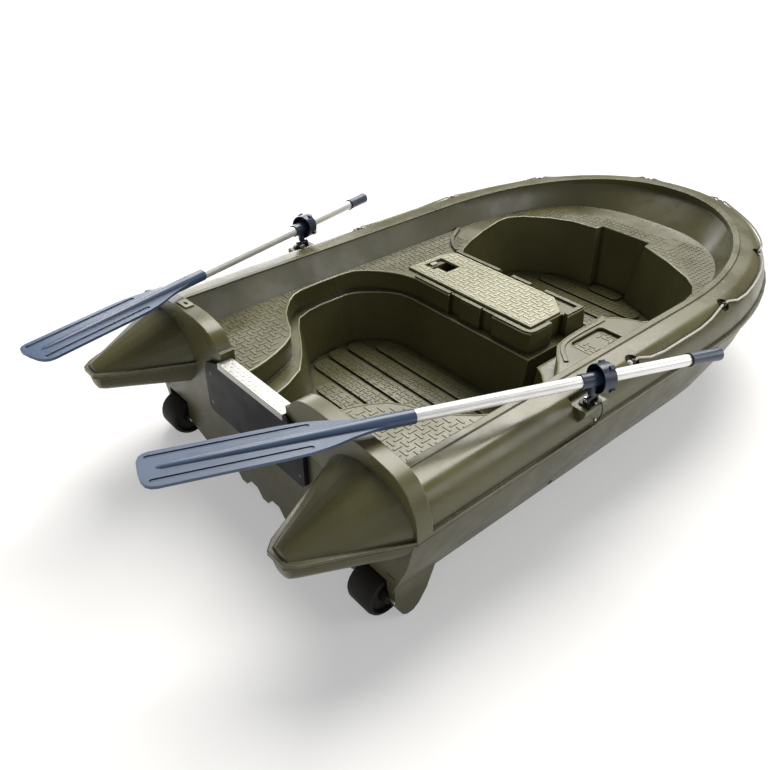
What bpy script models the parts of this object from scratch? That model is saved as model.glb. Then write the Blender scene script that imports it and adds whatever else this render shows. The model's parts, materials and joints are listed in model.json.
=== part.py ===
"""Plastic rowing boat with a pair of oars. Metres, +Z up, +Y to the bow, +X to starboard."""

import math

import bmesh
import bpy
from mathutils import Matrix, Vector

# Hull, measured from the transom's aft face, the centreline and the keel's underside
ORIGIN_Y = 1.03
HULL_LENGTH = 2.33
HALF_BEAM = 0.690
BOW_LENGTH = 0.98
BOW_START = HULL_LENGTH - BOW_LENGTH
BOW_POWER = 2.1
BOW_STEPS = 16
KEEL_LEVEL_Y = 0.50
WALL = 0.005
LINING = 0.006
FIT = 0.0003

# Seam between the two shells
PARTING_Z = 0.370
FLANGE_OUT = 0.010
FLANGE_THICK = 0.008

# Side tube of the deck moulding
SHOULDER_Z = PARTING_Z + FLANGE_THICK
SHOULDER_WIDTH = 0.070
TOP_Z = PARTING_Z + 0.110
SHEER_RISE = 0.022
SHOULDER_ANGLES = (25, 45, 62, 78, 90)
LIP_INSET = 0.110
LIP_HEIGHT = 0.007

# Cockpit recess: height over the ledge, inset at the side, inset at the bow, plan power
LEDGE_Z = PARTING_Z + 0.025
RECESS = ((0.0, 0.185, 0.275, 2.6), (0.045, 0.160, 0.210, 2.3), (0.086, 0.133, 0.145, 2.1))
RECESS_TOP = TOP_Z + 0.140
ARCH_THICK = 0.050

# Lower hull
CHINE_Z = 0.120
CHINE_INSET = 0.078
CHINE_BOW_INSET = 0.170
CHINE_BOW_RISE = 0.100
SIDE_Z = 0.250
SIDE_INSET = 0.025
SIDE_BOW_INSET = 0.040
STERN_DEPTH = 0.105
CHANNEL_DEPTH = 0.030
BILGE = ((0.77, 0.375), (0.58, 0.714))
KEELS = (0.40, 0.20, 0.0)
KEEL_FLAT = 0.024
CHANNEL_SLOPE = 0.045

# Wells and floors
WELL_HALF = HALF_BEAM - RECESS[0][1] - 0.007
STEP_Z = LEDGE_Z - 0.080
STEP_INSET = 0.022
FLOOR_AFT_Z = 0.112
FLOOR_FORWARD_Z = 0.142
PLANK_RISE = 0.008
PLANK_PITCH = 0.0875
PLANK_GROOVE = 0.016
FLOOR_DRAFT_AFT = 0.030
FLOOR_DRAFT_FORWARD = 0.040
WELL_STERN_HALF = 0.155
TRANSOM_INNER = 0.034
BENCH_AFT = 0.908
BENCH_FORWARD = 1.200
BENCH_PORT = -0.280
BENCH_END = 0.277
PASSAGE_OUT = 0.360
WELL_BOW_INSET = 0.475

# Stern
NOTCH_HALF = 0.170
NOTCH_Z = LEDGE_Z + 0.0647
ARCH = ((0.0, 0.080), (0.03, 0.114), (0.10, 0.153), (0.20, 0.1685), (0.34, 0.1715), (0.57, 0.1655),
        (0.77, 0.157), (0.885, 0.137), (0.955, 0.094), (0.995, 0.040), (1.0, -0.008))
CONE_BASE = (0.172, 0.130)
CONE_X = HALF_BEAM - CONE_BASE[0]
CONE_TIP_Y = -0.272
CONE_TIP_Z = PARTING_Z - 0.019
CONE_TIP_RADIUS = 0.050
BOARD_THICK = 0.014
PLATE_THICK = 0.0025
SCREW_RADIUS = 0.003
SCREW_HEAD = 0.0061
SCREW_SINK = 0.0041
BOARD_SCREWS = ((NOTCH_HALF + 0.055, NOTCH_Z - 0.060), (NOTCH_HALF + 0.065, NOTCH_Z - 0.175))
PLATE_LIP = 0.0205

# Wheels
WHEEL_X = HALF_BEAM - 0.160
WHEEL_Y = 0.015
WHEEL_RADIUS = 0.070
WHEEL_WIDTH = 0.100
WHEEL_ROOM = 0.012
CHEEK_IN = WHEEL_X + 0.060
CHEEK_OUT = CHEEK_IN + 0.030
AXLE_RADIUS = 0.008
AXLE_INSERT = 0.022

# Bench fittings
LID_THICK = 0.009
COMPARTMENT = ((BENCH_PORT - 0.030, BENCH_AFT + 0.026, 0.200),
               (BENCH_END - 0.077, BENCH_FORWARD - 0.045, LEDGE_Z + 0.035))
RIM_WIDTH = 0.016
RIM_RISE = 0.008
AFT_SLOTS = ((-0.108, -0.050), (0.046, 0.108))
FORWARD_SLOTS = ((-0.115, -0.050), (0.040, 0.108))
END_SLOT = (BENCH_AFT + 0.115, BENCH_AFT + 0.200)

# Lifeline and its eyes
ROPE_RADIUS = 0.0045
POCKET_RADIUS = 0.025
POCKET_DEPTH = 0.013
EYE_ANGLE = 66
ROPE_ANGLE = 50
EYES = (-0.425, 0.065, 0.40, 0.835)
ROPE_LIFT = 0.0058
ROPE_DIP = -0.002
ROPE_CLEAR = 0.0005
ROPE_END = 0.0058
EYE_HOLD = 0.007
EYE_SPREAD = 0.024
KNOT_HALF = 0.009

# Rowlocks
ROWLOCK_X = HALF_BEAM - 0.0075
ROWLOCK_Y = 0.6725
COLLAR_Z = TOP_Z + 0.057
SEAT_Z = TOP_Z - 0.022
SEAT_IN = 0.0425
SEAT_OUT = 0.0225
SEAT_HALF = 0.050
BASE_THICK = 0.006
BASE_HALF = (0.0215, 0.030)
HINGE_Z = SEAT_Z + 0.017
EAR_RADIUS = 0.008
EAR_IN = 0.0165
EAR_OUT = 0.0245
HINGE_PIN_RADIUS = 0.0035
POST_RADIUS = 0.006
POST_TOP = COLLAR_Z - 0.0305
COLLAR_BOSS_RADIUS = 0.012
COLLAR_BOSS_Z = HINGE_Z + 0.012
BOLT_X = 0.0160

# Oars: distances along the shaft from the collar, towards the grip
SHAFT_RADIUS = 0.0175
SHAFT_WALL = 0.0015
OAR_INBOARD = 0.448
OAR_OUTBOARD = 1.211
BLADE_LENGTH = 0.666
BLADE_HALF = 0.0625
BLADE_THICK = 0.008
BLADE_CHANNEL = (0.014, 0.0028)
NECK_RADIUS = 0.0197
NECK_INSERT = 0.085
GRIP_LENGTH = 0.120
GRIP_RADIUS = 0.0195
COLLAR_RADIUS = 0.0215
COLLAR_REACH = (-0.048, 0.044)
DRUM_RADIUS = 0.043
DRUM_START = 0.004
DRUM_WALL = 0.003
DRUM_WEB = 0.005
LUG_TURNS = (-38, 24, 118)
TETHER_RADIUS = 0.0015
OAR_BEARING = {"s": 18.05, "p": -17.60}
OAR_PITCH = {"s": -3.55, "p": -3.50}

SIDES = (("s", 1), ("p", -1))

OLIVE = ("olive_polyethylene", (0.150, 0.140, 0.075), 0.45, 0.0)
BLACK = ("black_plastic", (0.018, 0.019, 0.022), 0.50, 0.0)
RUBBER = ("black_rubber", (0.020, 0.020, 0.020), 0.75, 0.0)
BLADE_BLUE = ("slate_blue_plastic", (0.130, 0.190, 0.330), 0.45, 0.0)
NAVY = ("navy_plastic", (0.030, 0.042, 0.080), 0.45, 0.0)
ALLOY = ("aluminium", (0.800, 0.810, 0.820), 0.35, 1.0)
STEEL = ("stainless_steel", (0.620, 0.620, 0.620), 0.30, 1.0)
ROPE = ("pale_rope", (0.620, 0.610, 0.560), 0.85, 0.0)
GREY = ("grey_plastic", (0.450, 0.450, 0.420), 0.50, 0.0)


def clear_scene():
    for thing in list(bpy.data.objects):
        bpy.data.objects.remove(thing, do_unlink=True)


def new_collection(name):
    group = bpy.data.collections.new(name)
    bpy.context.scene.collection.children.link(group)
    return group


def material(finish):
    """A Principled material for one finish, made once."""
    name, colour, roughness, metallic = finish
    found = bpy.data.materials.get(name)
    if found:
        return found
    made = bpy.data.materials.new(name)
    made.use_nodes = True
    made.diffuse_color = (*colour, 1)
    shader = made.node_tree.nodes["Principled BSDF"]
    shader.inputs["Base Color"].default_value = (*colour, 1)
    shader.inputs["Roughness"].default_value = roughness
    shader.inputs["Metallic"].default_value = metallic
    return made


def place(name, data, finish, parent=None):
    """Adds a part, or a cutter when it has no finish."""
    thing = bpy.data.objects.new(name, data)
    thing.parent = parent or FRAME
    if finish:
        PARTS.objects.link(thing)
        if not data.materials:
            data.materials.append(material(finish))
        return thing
    CUTTERS.objects.link(thing)
    thing.hide_render = True
    thing.display_type = "WIRE"
    return thing


def make(name, shapes, finish=None, parent=None):
    """One object from closed shapes that don't touch each other."""
    form = bmesh.new()
    for shape in shapes:
        shape(form)
    bmesh.ops.recalc_face_normals(form, faces=form.faces)
    mesh = bpy.data.meshes.new(name)
    form.to_mesh(mesh)
    form.free()
    mesh.shade_smooth()
    mesh.set_sharp_from_angle(angle=math.radians(35))
    return place(name, mesh, finish, parent)


def combine(target, *steps):
    """Booleans in order: pairs of an operation and the object it uses."""
    for operation, tool in steps:
        step = target.modifiers.new(tool.name, "BOOLEAN")
        step.operation = operation
        step.solver = "EXACT"
        step.object = tool
    return target


def loft(rings, ladder=False):
    """A closed skin through rings of equal count, capped flat or by strips from side to side."""
    def shape(form):
        loops = [[form.verts.new(point) for point in ring] for ring in rings]
        count = len(loops[0])
        for low, high in zip(loops, loops[1:]):
            for i in range(count):
                j = (i + 1) % count
                form.faces.new((low[i], low[j], high[j], high[i]))
        for loop in (loops[0], loops[-1]):
            if not ladder:
                form.faces.new(loop)
                continue
            for i in range(count // 2):
                rung = [loop[i], loop[i + 1], loop[count - 2 - i], loop[count - 1 - i]]
                form.faces.new(list(dict.fromkeys(rung)))
    return shape


def prism(outline, low, high, axis="z"):
    """An outline extruded along an axis, seen with the other two axes in order."""
    def at(point, height):
        a, b = point
        return {"x": (height, a, b), "y": (a, height, b), "z": (a, b, height)}[axis]
    return loft([[at(point, height) for point in outline] for height in (low, high)])


def box(low, high):
    def shape(form):
        size = Vector(high) - Vector(low)
        middle = (Vector(high) + Vector(low)) / 2
        frame = Matrix.Translation(middle) @ Matrix.Diagonal((*size, 1))
        bmesh.ops.create_cube(form, size=1, matrix=frame)
    return shape


def rod(start, end, radius, end_radius=None, segments=24):
    """A cylinder or a cone between two points."""
    def shape(form):
        a, b = Vector(start), Vector(end)
        turn = (b - a).to_track_quat("Z", "Y").to_matrix().to_4x4()
        bmesh.ops.create_cone(form, cap_ends=True, segments=segments, radius1=radius,
                              radius2=radius if end_radius is None else end_radius,
                              depth=(b - a).length, matrix=Matrix.Translation((a + b) / 2) @ turn)
    return shape


def turned(name, profile, steps, finish, parent=None, closed=False):
    """A profile of radius and height turned about Z, its outer side listed from the top down."""
    count = len(profile)
    edges = [(i, (i + 1) % count) for i in range(count if closed else count - 1)]
    mesh = bpy.data.meshes.new(name)
    mesh.from_pydata([(radius, 0, height) for radius, height in profile], edges, [])
    thing = place(name, mesh, finish, parent)
    turn = thing.modifiers.new("Turn", "SCREW")
    turn.steps = turn.render_steps = steps
    turn.use_merge_vertices = True
    turn.merge_threshold = 0.00005
    return thing


def tube(name, points, radius, finish, resolution=2, parent=None):
    """A round cord or wire along a polyline, with closed ends."""
    curve = bpy.data.curves.new(name, "CURVE")
    curve.dimensions = "3D"
    curve.bevel_depth = radius
    curve.bevel_resolution = resolution
    curve.use_fill_caps = True
    line = curve.splines.new("POLY")
    line.points.add(len(points) - 1)
    for spot, point in zip(line.points, points):
        spot.co = (*point, 1)
    return place(name, curve, finish, parent)


def smooth(points, steps):
    """A Catmull-Rom curve through the points."""
    ends = [2 * Vector(points[0]) - Vector(points[1])]
    knots = ends + [Vector(p) for p in points] + [2 * Vector(points[-1]) - Vector(points[-2])]
    line = []
    for i in range(1, len(knots) - 2):
        a, b, c, d = knots[i - 1:i + 3]
        for step in range(steps):
            t = step / steps
            line.append(tuple(0.5 * (2 * b + (c - a) * t + (2 * a - 5 * b + 4 * c - d) * t * t
                                     + (3 * b - a - 3 * c + d) * t ** 3)))
    return line + [tuple(knots[-2])]


def grown(outline, distance):
    """A counter-clockwise outline moved outwards, with mitred corners."""
    result = []
    for i, point in enumerate(outline):
        before, here, after = Vector(outline[i
                                             - 1]), Vector(point), Vector(outline[(i
                                                                                   + 1) % len(outline)])
        first, second = (here - before).normalized(), (after - here).normalized()
        one, two = Vector((first.y, -first.x)), Vector((second.y, -second.x))
        result.append(tuple(here + (one + two) * distance / (1 + one.dot(two))))
    return result


def mirrored(half):
    """A whole outline from its starboard half, listed from the stern forwards."""
    return list(half) + [(-x, y) for x, y in reversed(half)]


def stadium(start, end, width, steps=6):
    """A slot outline with round ends between two points."""
    a, b = Vector(start), Vector(end)
    along = (b - a).normalized()
    side = Vector((along.y, -along.x))
    outline = []
    for centre, sign in ((b, 1), (a, -1)):
        for i in range(steps + 1):
            angle = math.pi * i / steps
            turn = side * math.cos(angle) + along * math.sin(angle)
            outline.append(tuple(centre + turn * sign * width / 2))
    return outline


def rounded_box(low, high, radius, steps=3):
    """A rectangle's outline with round corners."""
    (x0, y0), (x1, y1) = low, high
    corners = ((x1 - radius, y0 + radius, -90), (x1 - radius, y1 - radius, 0),
               (x0 + radius, y1 - radius, 90), (x0 + radius, y0 + radius, 180))
    return [(x + radius * math.cos(math.radians(start + 90 * i / steps)),
             y + radius * math.sin(math.radians(start + 90 * i / steps)))
            for x, y, start in corners for i in range(steps + 1)]


def level(half, end, z, rise=0.0, start=0.0, power=BOW_POWER):
    """The hull's plan at one height, from the starboard stern round the bow to the port stern."""
    side = [(half, start, z), (half, KEEL_LEVEL_Y, z)]
    for step in range(BOW_STEPS):
        angle = math.pi / 2 * step / BOW_STEPS
        forward = math.sin(angle) ** (2 / power)
        across = half * math.cos(angle) ** (2 / power)
        side.append((across, BOW_START + (end - BOW_START) * forward, z + rise * forward ** 2))
    return side + [(0.0, end, z + rise)] + [(-x, y, height) for x, y, height in reversed(side)]


def tube_level(inset, z, start=0.0):
    """A level of the side tube, which rises a little towards the bow."""
    rise = SHEER_RISE * max(0.0, z - SHOULDER_Z) / (TOP_Z - SHOULDER_Z)
    return level(HALF_BEAM - inset, HULL_LENGTH - inset, z, rise, start)


def shoulder_levels(skin, start):
    """The rounded outer shoulder of the tube, on its face or on the inside of its wall."""
    levels = []
    for degrees in SHOULDER_ANGLES:
        angle = math.radians(degrees)
        inset = skin + SHOULDER_WIDTH * (1 - math.cos(angle))
        levels.append(tube_level(inset, SHOULDER_Z + (TOP_Z - skin - SHOULDER_Z) * math.sin(angle),
                                 start))
    return levels


def tube_block():
    """The deck moulding's outer block, running on below the seam."""
    return loft([tube_level(-FLANGE_OUT, PARTING_Z - 0.020), tube_level(-FLANGE_OUT, SHOULDER_Z),
                 tube_level(0, SHOULDER_Z)] + shoulder_levels(0, 0.0)
                + [tube_level(LIP_INSET, TOP_Z + 0.002),
                   tube_level(LIP_INSET + 0.003, TOP_Z + LIP_HEIGHT),
                   tube_level(0.190, TOP_Z + LIP_HEIGHT)], ladder=True)


def tube_hollow():
    return loft([tube_level(WALL, PARTING_Z - 0.060, WALL), tube_level(WALL, SHOULDER_Z, WALL)]
                + shoulder_levels(WALL,
                                  WALL) + [tube_level(0.115, TOP_Z - WALL, WALL)], ladder=True)


def recess_block(grow, start):
    """The cockpit's recess above the ledge."""
    rows = [level(HALF_BEAM - side + grow, HULL_LENGTH - bow + grow,
                  LEDGE_Z + height - (grow and WALL), 0, start, power)
            for height, side, bow, power in RECESS]
    _, side, bow, power = RECESS[-1]
    rows.append(level(HALF_BEAM - side + grow, HULL_LENGTH - bow + grow, RECESS_TOP, 0, start,
                      power))
    return loft(rows, ladder=True)


def ledge_half(y):
    """Half the width of the recess's floor."""
    _, side, bow, power = RECESS[0]
    reach = (y - BOW_START) / (HULL_LENGTH - bow - BOW_START)
    return (HALF_BEAM - side) * (1 - max(0.0, min(reach, 1.0)) ** power) ** (1 / power)


def arch_outline(offset=0.0):
    """The stern arch in elevation, starboard, counter-clockwise."""
    span = HALF_BEAM + FLANGE_OUT - NOTCH_HALF
    rows = [(NOTCH_HALF + across * span, PARTING_Z + 0.010 + height) for across, height in ARCH]
    top = smooth(rows, 2)
    outline = [(NOTCH_HALF, PARTING_Z - 0.015),
               (HALF_BEAM + FLANGE_OUT, PARTING_Z - 0.015)] + top[::-1]
    return grown(outline, offset) if offset else outline


def sided(outline, sign):
    """The same outline on either side, still counter-clockwise."""
    return list(outline) if sign > 0 else [(-x, y) for x, y in reversed(outline)]


def cone(sign, skin, base_y):
    """A stern buoyancy cone between its root and its blunt tip."""
    rings = []
    base_x, base_z = CONE_BASE
    for y, share, radius in ((base_y, 0.0, None), (CONE_TIP_Y + 0.022, 1.0, CONE_TIP_RADIUS),
                             (CONE_TIP_Y + 0.005, 1.0, CONE_TIP_RADIUS - 0.008),
                             (CONE_TIP_Y, 1.0, CONE_TIP_RADIUS - 0.019)):
        across, high = (base_x, base_z) if radius is None else (radius, radius)
        z = PARTING_Z + (CONE_TIP_Z - PARTING_Z) * share
        rings.append([(sign * CONE_X + (across - skin) * math.cos(math.tau * i / 24),
                       y + (skin if share else 0),
                       z + (high - skin) * math.sin(math.tau * i / 24)) for i in range(24)])
    return loft(rings)


def cone_flange(sign):
    """The plan of the seam flange round a cone."""
    wide, nose, tip = CONE_TIP_RADIUS + 0.007, CONE_TIP_RADIUS * 0.65, CONE_TIP_Y
    return sided([(CONE_X - CONE_BASE[0] - FLANGE_OUT, 0.003), (CONE_X - wide, tip + 0.017),
                  (CONE_X - nose, tip - 0.011),
                  (CONE_X + nose, tip - 0.011), (CONE_X + wide,
                                                 tip + 0.017), (HALF_BEAM + FLANGE_OUT,
                                                                0.003)], sign)


def bay(stern_half, half, start, end, rows):
    """Plan points across from a stern half width to the full one, and along from start to end."""
    return [(stern_half + (half - stern_half) * across, start + (end - start) * along) for across,
            along in rows]


def aft_well():
    """The aft well at the ledge, with the passage beside the bench."""
    stern = smooth(bay(WELL_STERN_HALF, WELL_HALF, TRANSOM_INNER, BENCH_AFT,
                       ((0, 0), (0.067, 0.144), (0.277, 0.310), (0.671, 0.398), (0.953, 0.516),
                        (1, 0.648))), 3)
    starboard = smooth(bay(PASSAGE_OUT, WELL_HALF, TRANSOM_INNER, BENCH_AFT,
                           ((1, 0.762), (0.906, 0.859), (0.58, 0.934), (0.109, 1.025),
                            (0, 1.128))), 2)
    port = smooth([(-x, y) for x, y in bay(-BENCH_PORT, WELL_HALF, TRANSOM_INNER, BENCH_AFT,
                                           ((0, 1), (0.298, 0.982), (0.55, 0.947), (0.803, 0.894),
                                            (0.963, 0.836), (1, 0.762)))], 2)
    bench = [(PASSAGE_OUT - 0.010, BENCH_FORWARD + 0.045), (BENCH_END, BENCH_FORWARD + 0.045),
             (BENCH_END, BENCH_AFT + 0.037), (BENCH_END - 0.009,
                                              BENCH_AFT + 0.009), (BENCH_END - 0.030, BENCH_AFT)]
    return stern + starboard + bench + port + [(-x, y) for x, y in reversed(stern)]


def aft_step():
    """The same well below its step."""
    front = BENCH_AFT - 0.016
    half = WELL_HALF - STEP_INSET
    side = smooth(bay(0.085, half, TRANSOM_INNER + 0.018, front,
                      ((0, 0), (0.038, 0.093), (0.205, 0.265), (0.575, 0.396), (0.921, 0.504),
                       (1, 0.652))), 2)
    corner = smooth([(half, front - 0.172), (half - 0.016, front - 0.127),
                     (half - 0.066, front - 0.062),
                     (half - 0.125, front - 0.014), (half - 0.196, front)], 2)
    return mirrored(side + corner)


def forward_well():
    """The forward well at the ledge: shares of the ledge's half width and of the well's length."""
    end = HULL_LENGTH - WELL_BOW_INSET
    starboard = ((0.730, 0.0), (0.770, 0.038), (0.835, 0.076), (0.920, 0.105), (0.966, 0.153),
                 (0.967, 0.458),
                 (0.953, 0.595), (0.907, 0.675), (0.812, 0.748), (0.572, 0.850), (0.285,
                                                                                  0.934), (0.288,
                                                                                           1.0))
    port = ((0.644, 0.0), (0.697, 0.053), (0.762, 0.165), (0.839, 0.351), (0.907, 0.540),
            (0.922, 0.634),
            (0.870, 0.728), (0.709, 0.846), (0.532, 0.915), (0.285, 0.940), (0.288, 1.0))

    def placed(rows, sign):
        points = []
        for across, along in rows:
            y = BENCH_FORWARD + (end - BENCH_FORWARD) * along
            points.append((sign * across * ledge_half(y), y))
        return points
    return placed(starboard, 1) + placed(port, -1)[::-1]


def drafted(outline, top, floor, draft, grow=0.0):
    """A well whose walls lean in towards its floor."""
    overrun = draft * 0.015 / (top - floor)
    rings = ((grown(outline, overrun + grow), top + 0.015),
             (grown(outline, grow - draft), floor - (grow and WALL)))
    return loft([[(x, y, z) for x, y in ring] for ring, z in rings])


def span(outline, y):
    """The outline's reach across at one y, or None."""
    found = []
    for (x0, y0), (x1, y1) in zip(outline, outline[1:] + outline[:1]):
        if (y0 - y) * (y1 - y) < 0:
            found.append(x0 + (x1 - x0) * (y - y0) / (y1 - y0))
    return (min(found), max(found)) if found else None


def planks(floor, first_groove, z):
    """Transverse planks with round ends that fill a floor's outline."""
    shapes = []
    low, high = min(y for _, y in floor), max(y for _, y in floor)
    count = math.ceil((high - low) / PLANK_PITCH) + 1
    start = first_groove - math.floor((first_groove - low) / PLANK_PITCH) * PLANK_PITCH
    for row in range(-1, count):
        y0 = max(start + row * PLANK_PITCH + PLANK_GROOVE / 2, low + 0.006)
        y1 = min(start + (row + 1) * PLANK_PITCH - PLANK_GROOVE / 2, high - 0.006)
        if y1 - y0 < 0.030:
            continue
        reaches = [span(floor, y) for y in (y0, (y0 + y1) / 2, y1)]
        if None in reaches:
            continue
        left, right = max(reach[0] for reach in reaches) + 0.008, min(reach[1]
                                                                      for reach in reaches) - 0.008
        if right - left > 0.060:
            outline = rounded_box((left, y0), (right, y1), min(0.028, (y1 - y0) * 0.45))
            shapes.append(prism(outline, z - 0.003, z + PLANK_RISE))
    return shapes


def bar(path, width, low, high):
    """A raised bead along an open path."""
    points = [Vector(point) for point in path]
    left, right = [], []
    for i, point in enumerate(points):
        before, after = points[max(i - 1, 0)], points[min(i + 1, len(points) - 1)]
        first = (point - before).normalized() if i else (after - point).normalized()
        second = (after - point).normalized() if i < len(points) - 1 else first
        one, two = Vector((first.y, -first.x)), Vector((second.y, -second.x))
        side = (one + two) * width / 2 / (1 + one.dot(two))
        right.append(tuple(point + side))
        left.append(tuple(point - side))
    return prism(right + left[::-1], low, high)


def shoulder_frame(station, degrees, height=0.0):
    """A frame on the tube's shoulder: X outboard along the slope, Y along the tube, Z off its face.

    A station below 0 is metres aft of the bow's start, and 0 to 1 is the starboard bow.
    """
    angle = math.radians(degrees)
    rise_z = TOP_Z - SHOULDER_Z
    inset = SHOULDER_WIDTH * (1 - math.cos(angle))
    off = Vector((math.cos(angle) / SHOULDER_WIDTH, math.sin(angle) / rise_z)).normalized()
    inset -= height * off.x
    z = SHOULDER_Z + rise_z * math.sin(angle) + height * off.y
    half, end = HALF_BEAM - inset, HULL_LENGTH - inset
    if station <= 0:
        point, normal, forward = Vector((half, BOW_START + station, z)), Vector((1, 0, 0)), 0.0
    else:
        turn = math.pi / 2 * station
        forward = math.sin(turn) ** (2 / BOW_POWER)
        across = math.cos(turn) ** (2 / BOW_POWER)
        point = Vector((half * across, BOW_START + (end - BOW_START) * forward, z))
        normal = Vector((across ** (BOW_POWER - 1) / half,
                         forward ** (BOW_POWER - 1) / (end - BOW_START), 0)).normalized()
    point.z += SHEER_RISE * (z - SHOULDER_Z) / rise_z * forward ** 2
    up = (normal * off.x + Vector((0, 0, 1)) * off.y).normalized()
    along = Vector((-normal.y, normal.x, 0))
    frame = Matrix((along.cross(up), along, up)).transposed().to_4x4()
    frame.translation = point
    return frame


def flipped(frame, sign):
    """A starboard frame carried to port by turning its axes, with no mirroring."""
    if sign > 0:
        return frame
    point, out, up = frame.translation, frame.col[0].to_3d(), frame.col[2].to_3d()
    point, out, up = (Vector((-v.x, v.y, v.z)) for v in (point, out, up))
    copy = Matrix((out, up.cross(out), up)).transposed().to_4x4()
    copy.translation = point
    return copy


def moved(shape, frame):
    """A shape carried to a frame."""
    def carried(form):
        part = bmesh.new()
        shape(part)
        part.transform(frame)
        mesh = bpy.data.meshes.new("carried")
        part.to_mesh(mesh)
        part.free()
        form.from_mesh(mesh)
        bpy.data.meshes.remove(mesh)
    return carried


def eye_frames():
    return [(f"{side}{row + 1}", flipped(shoulder_frame(station, EYE_ANGLE), sign))
            for side, sign in SIDES for row, station in enumerate(EYES)]


def each_side(build):
    return [shape for _, sign in SIDES for shape in build(sign)]


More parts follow.
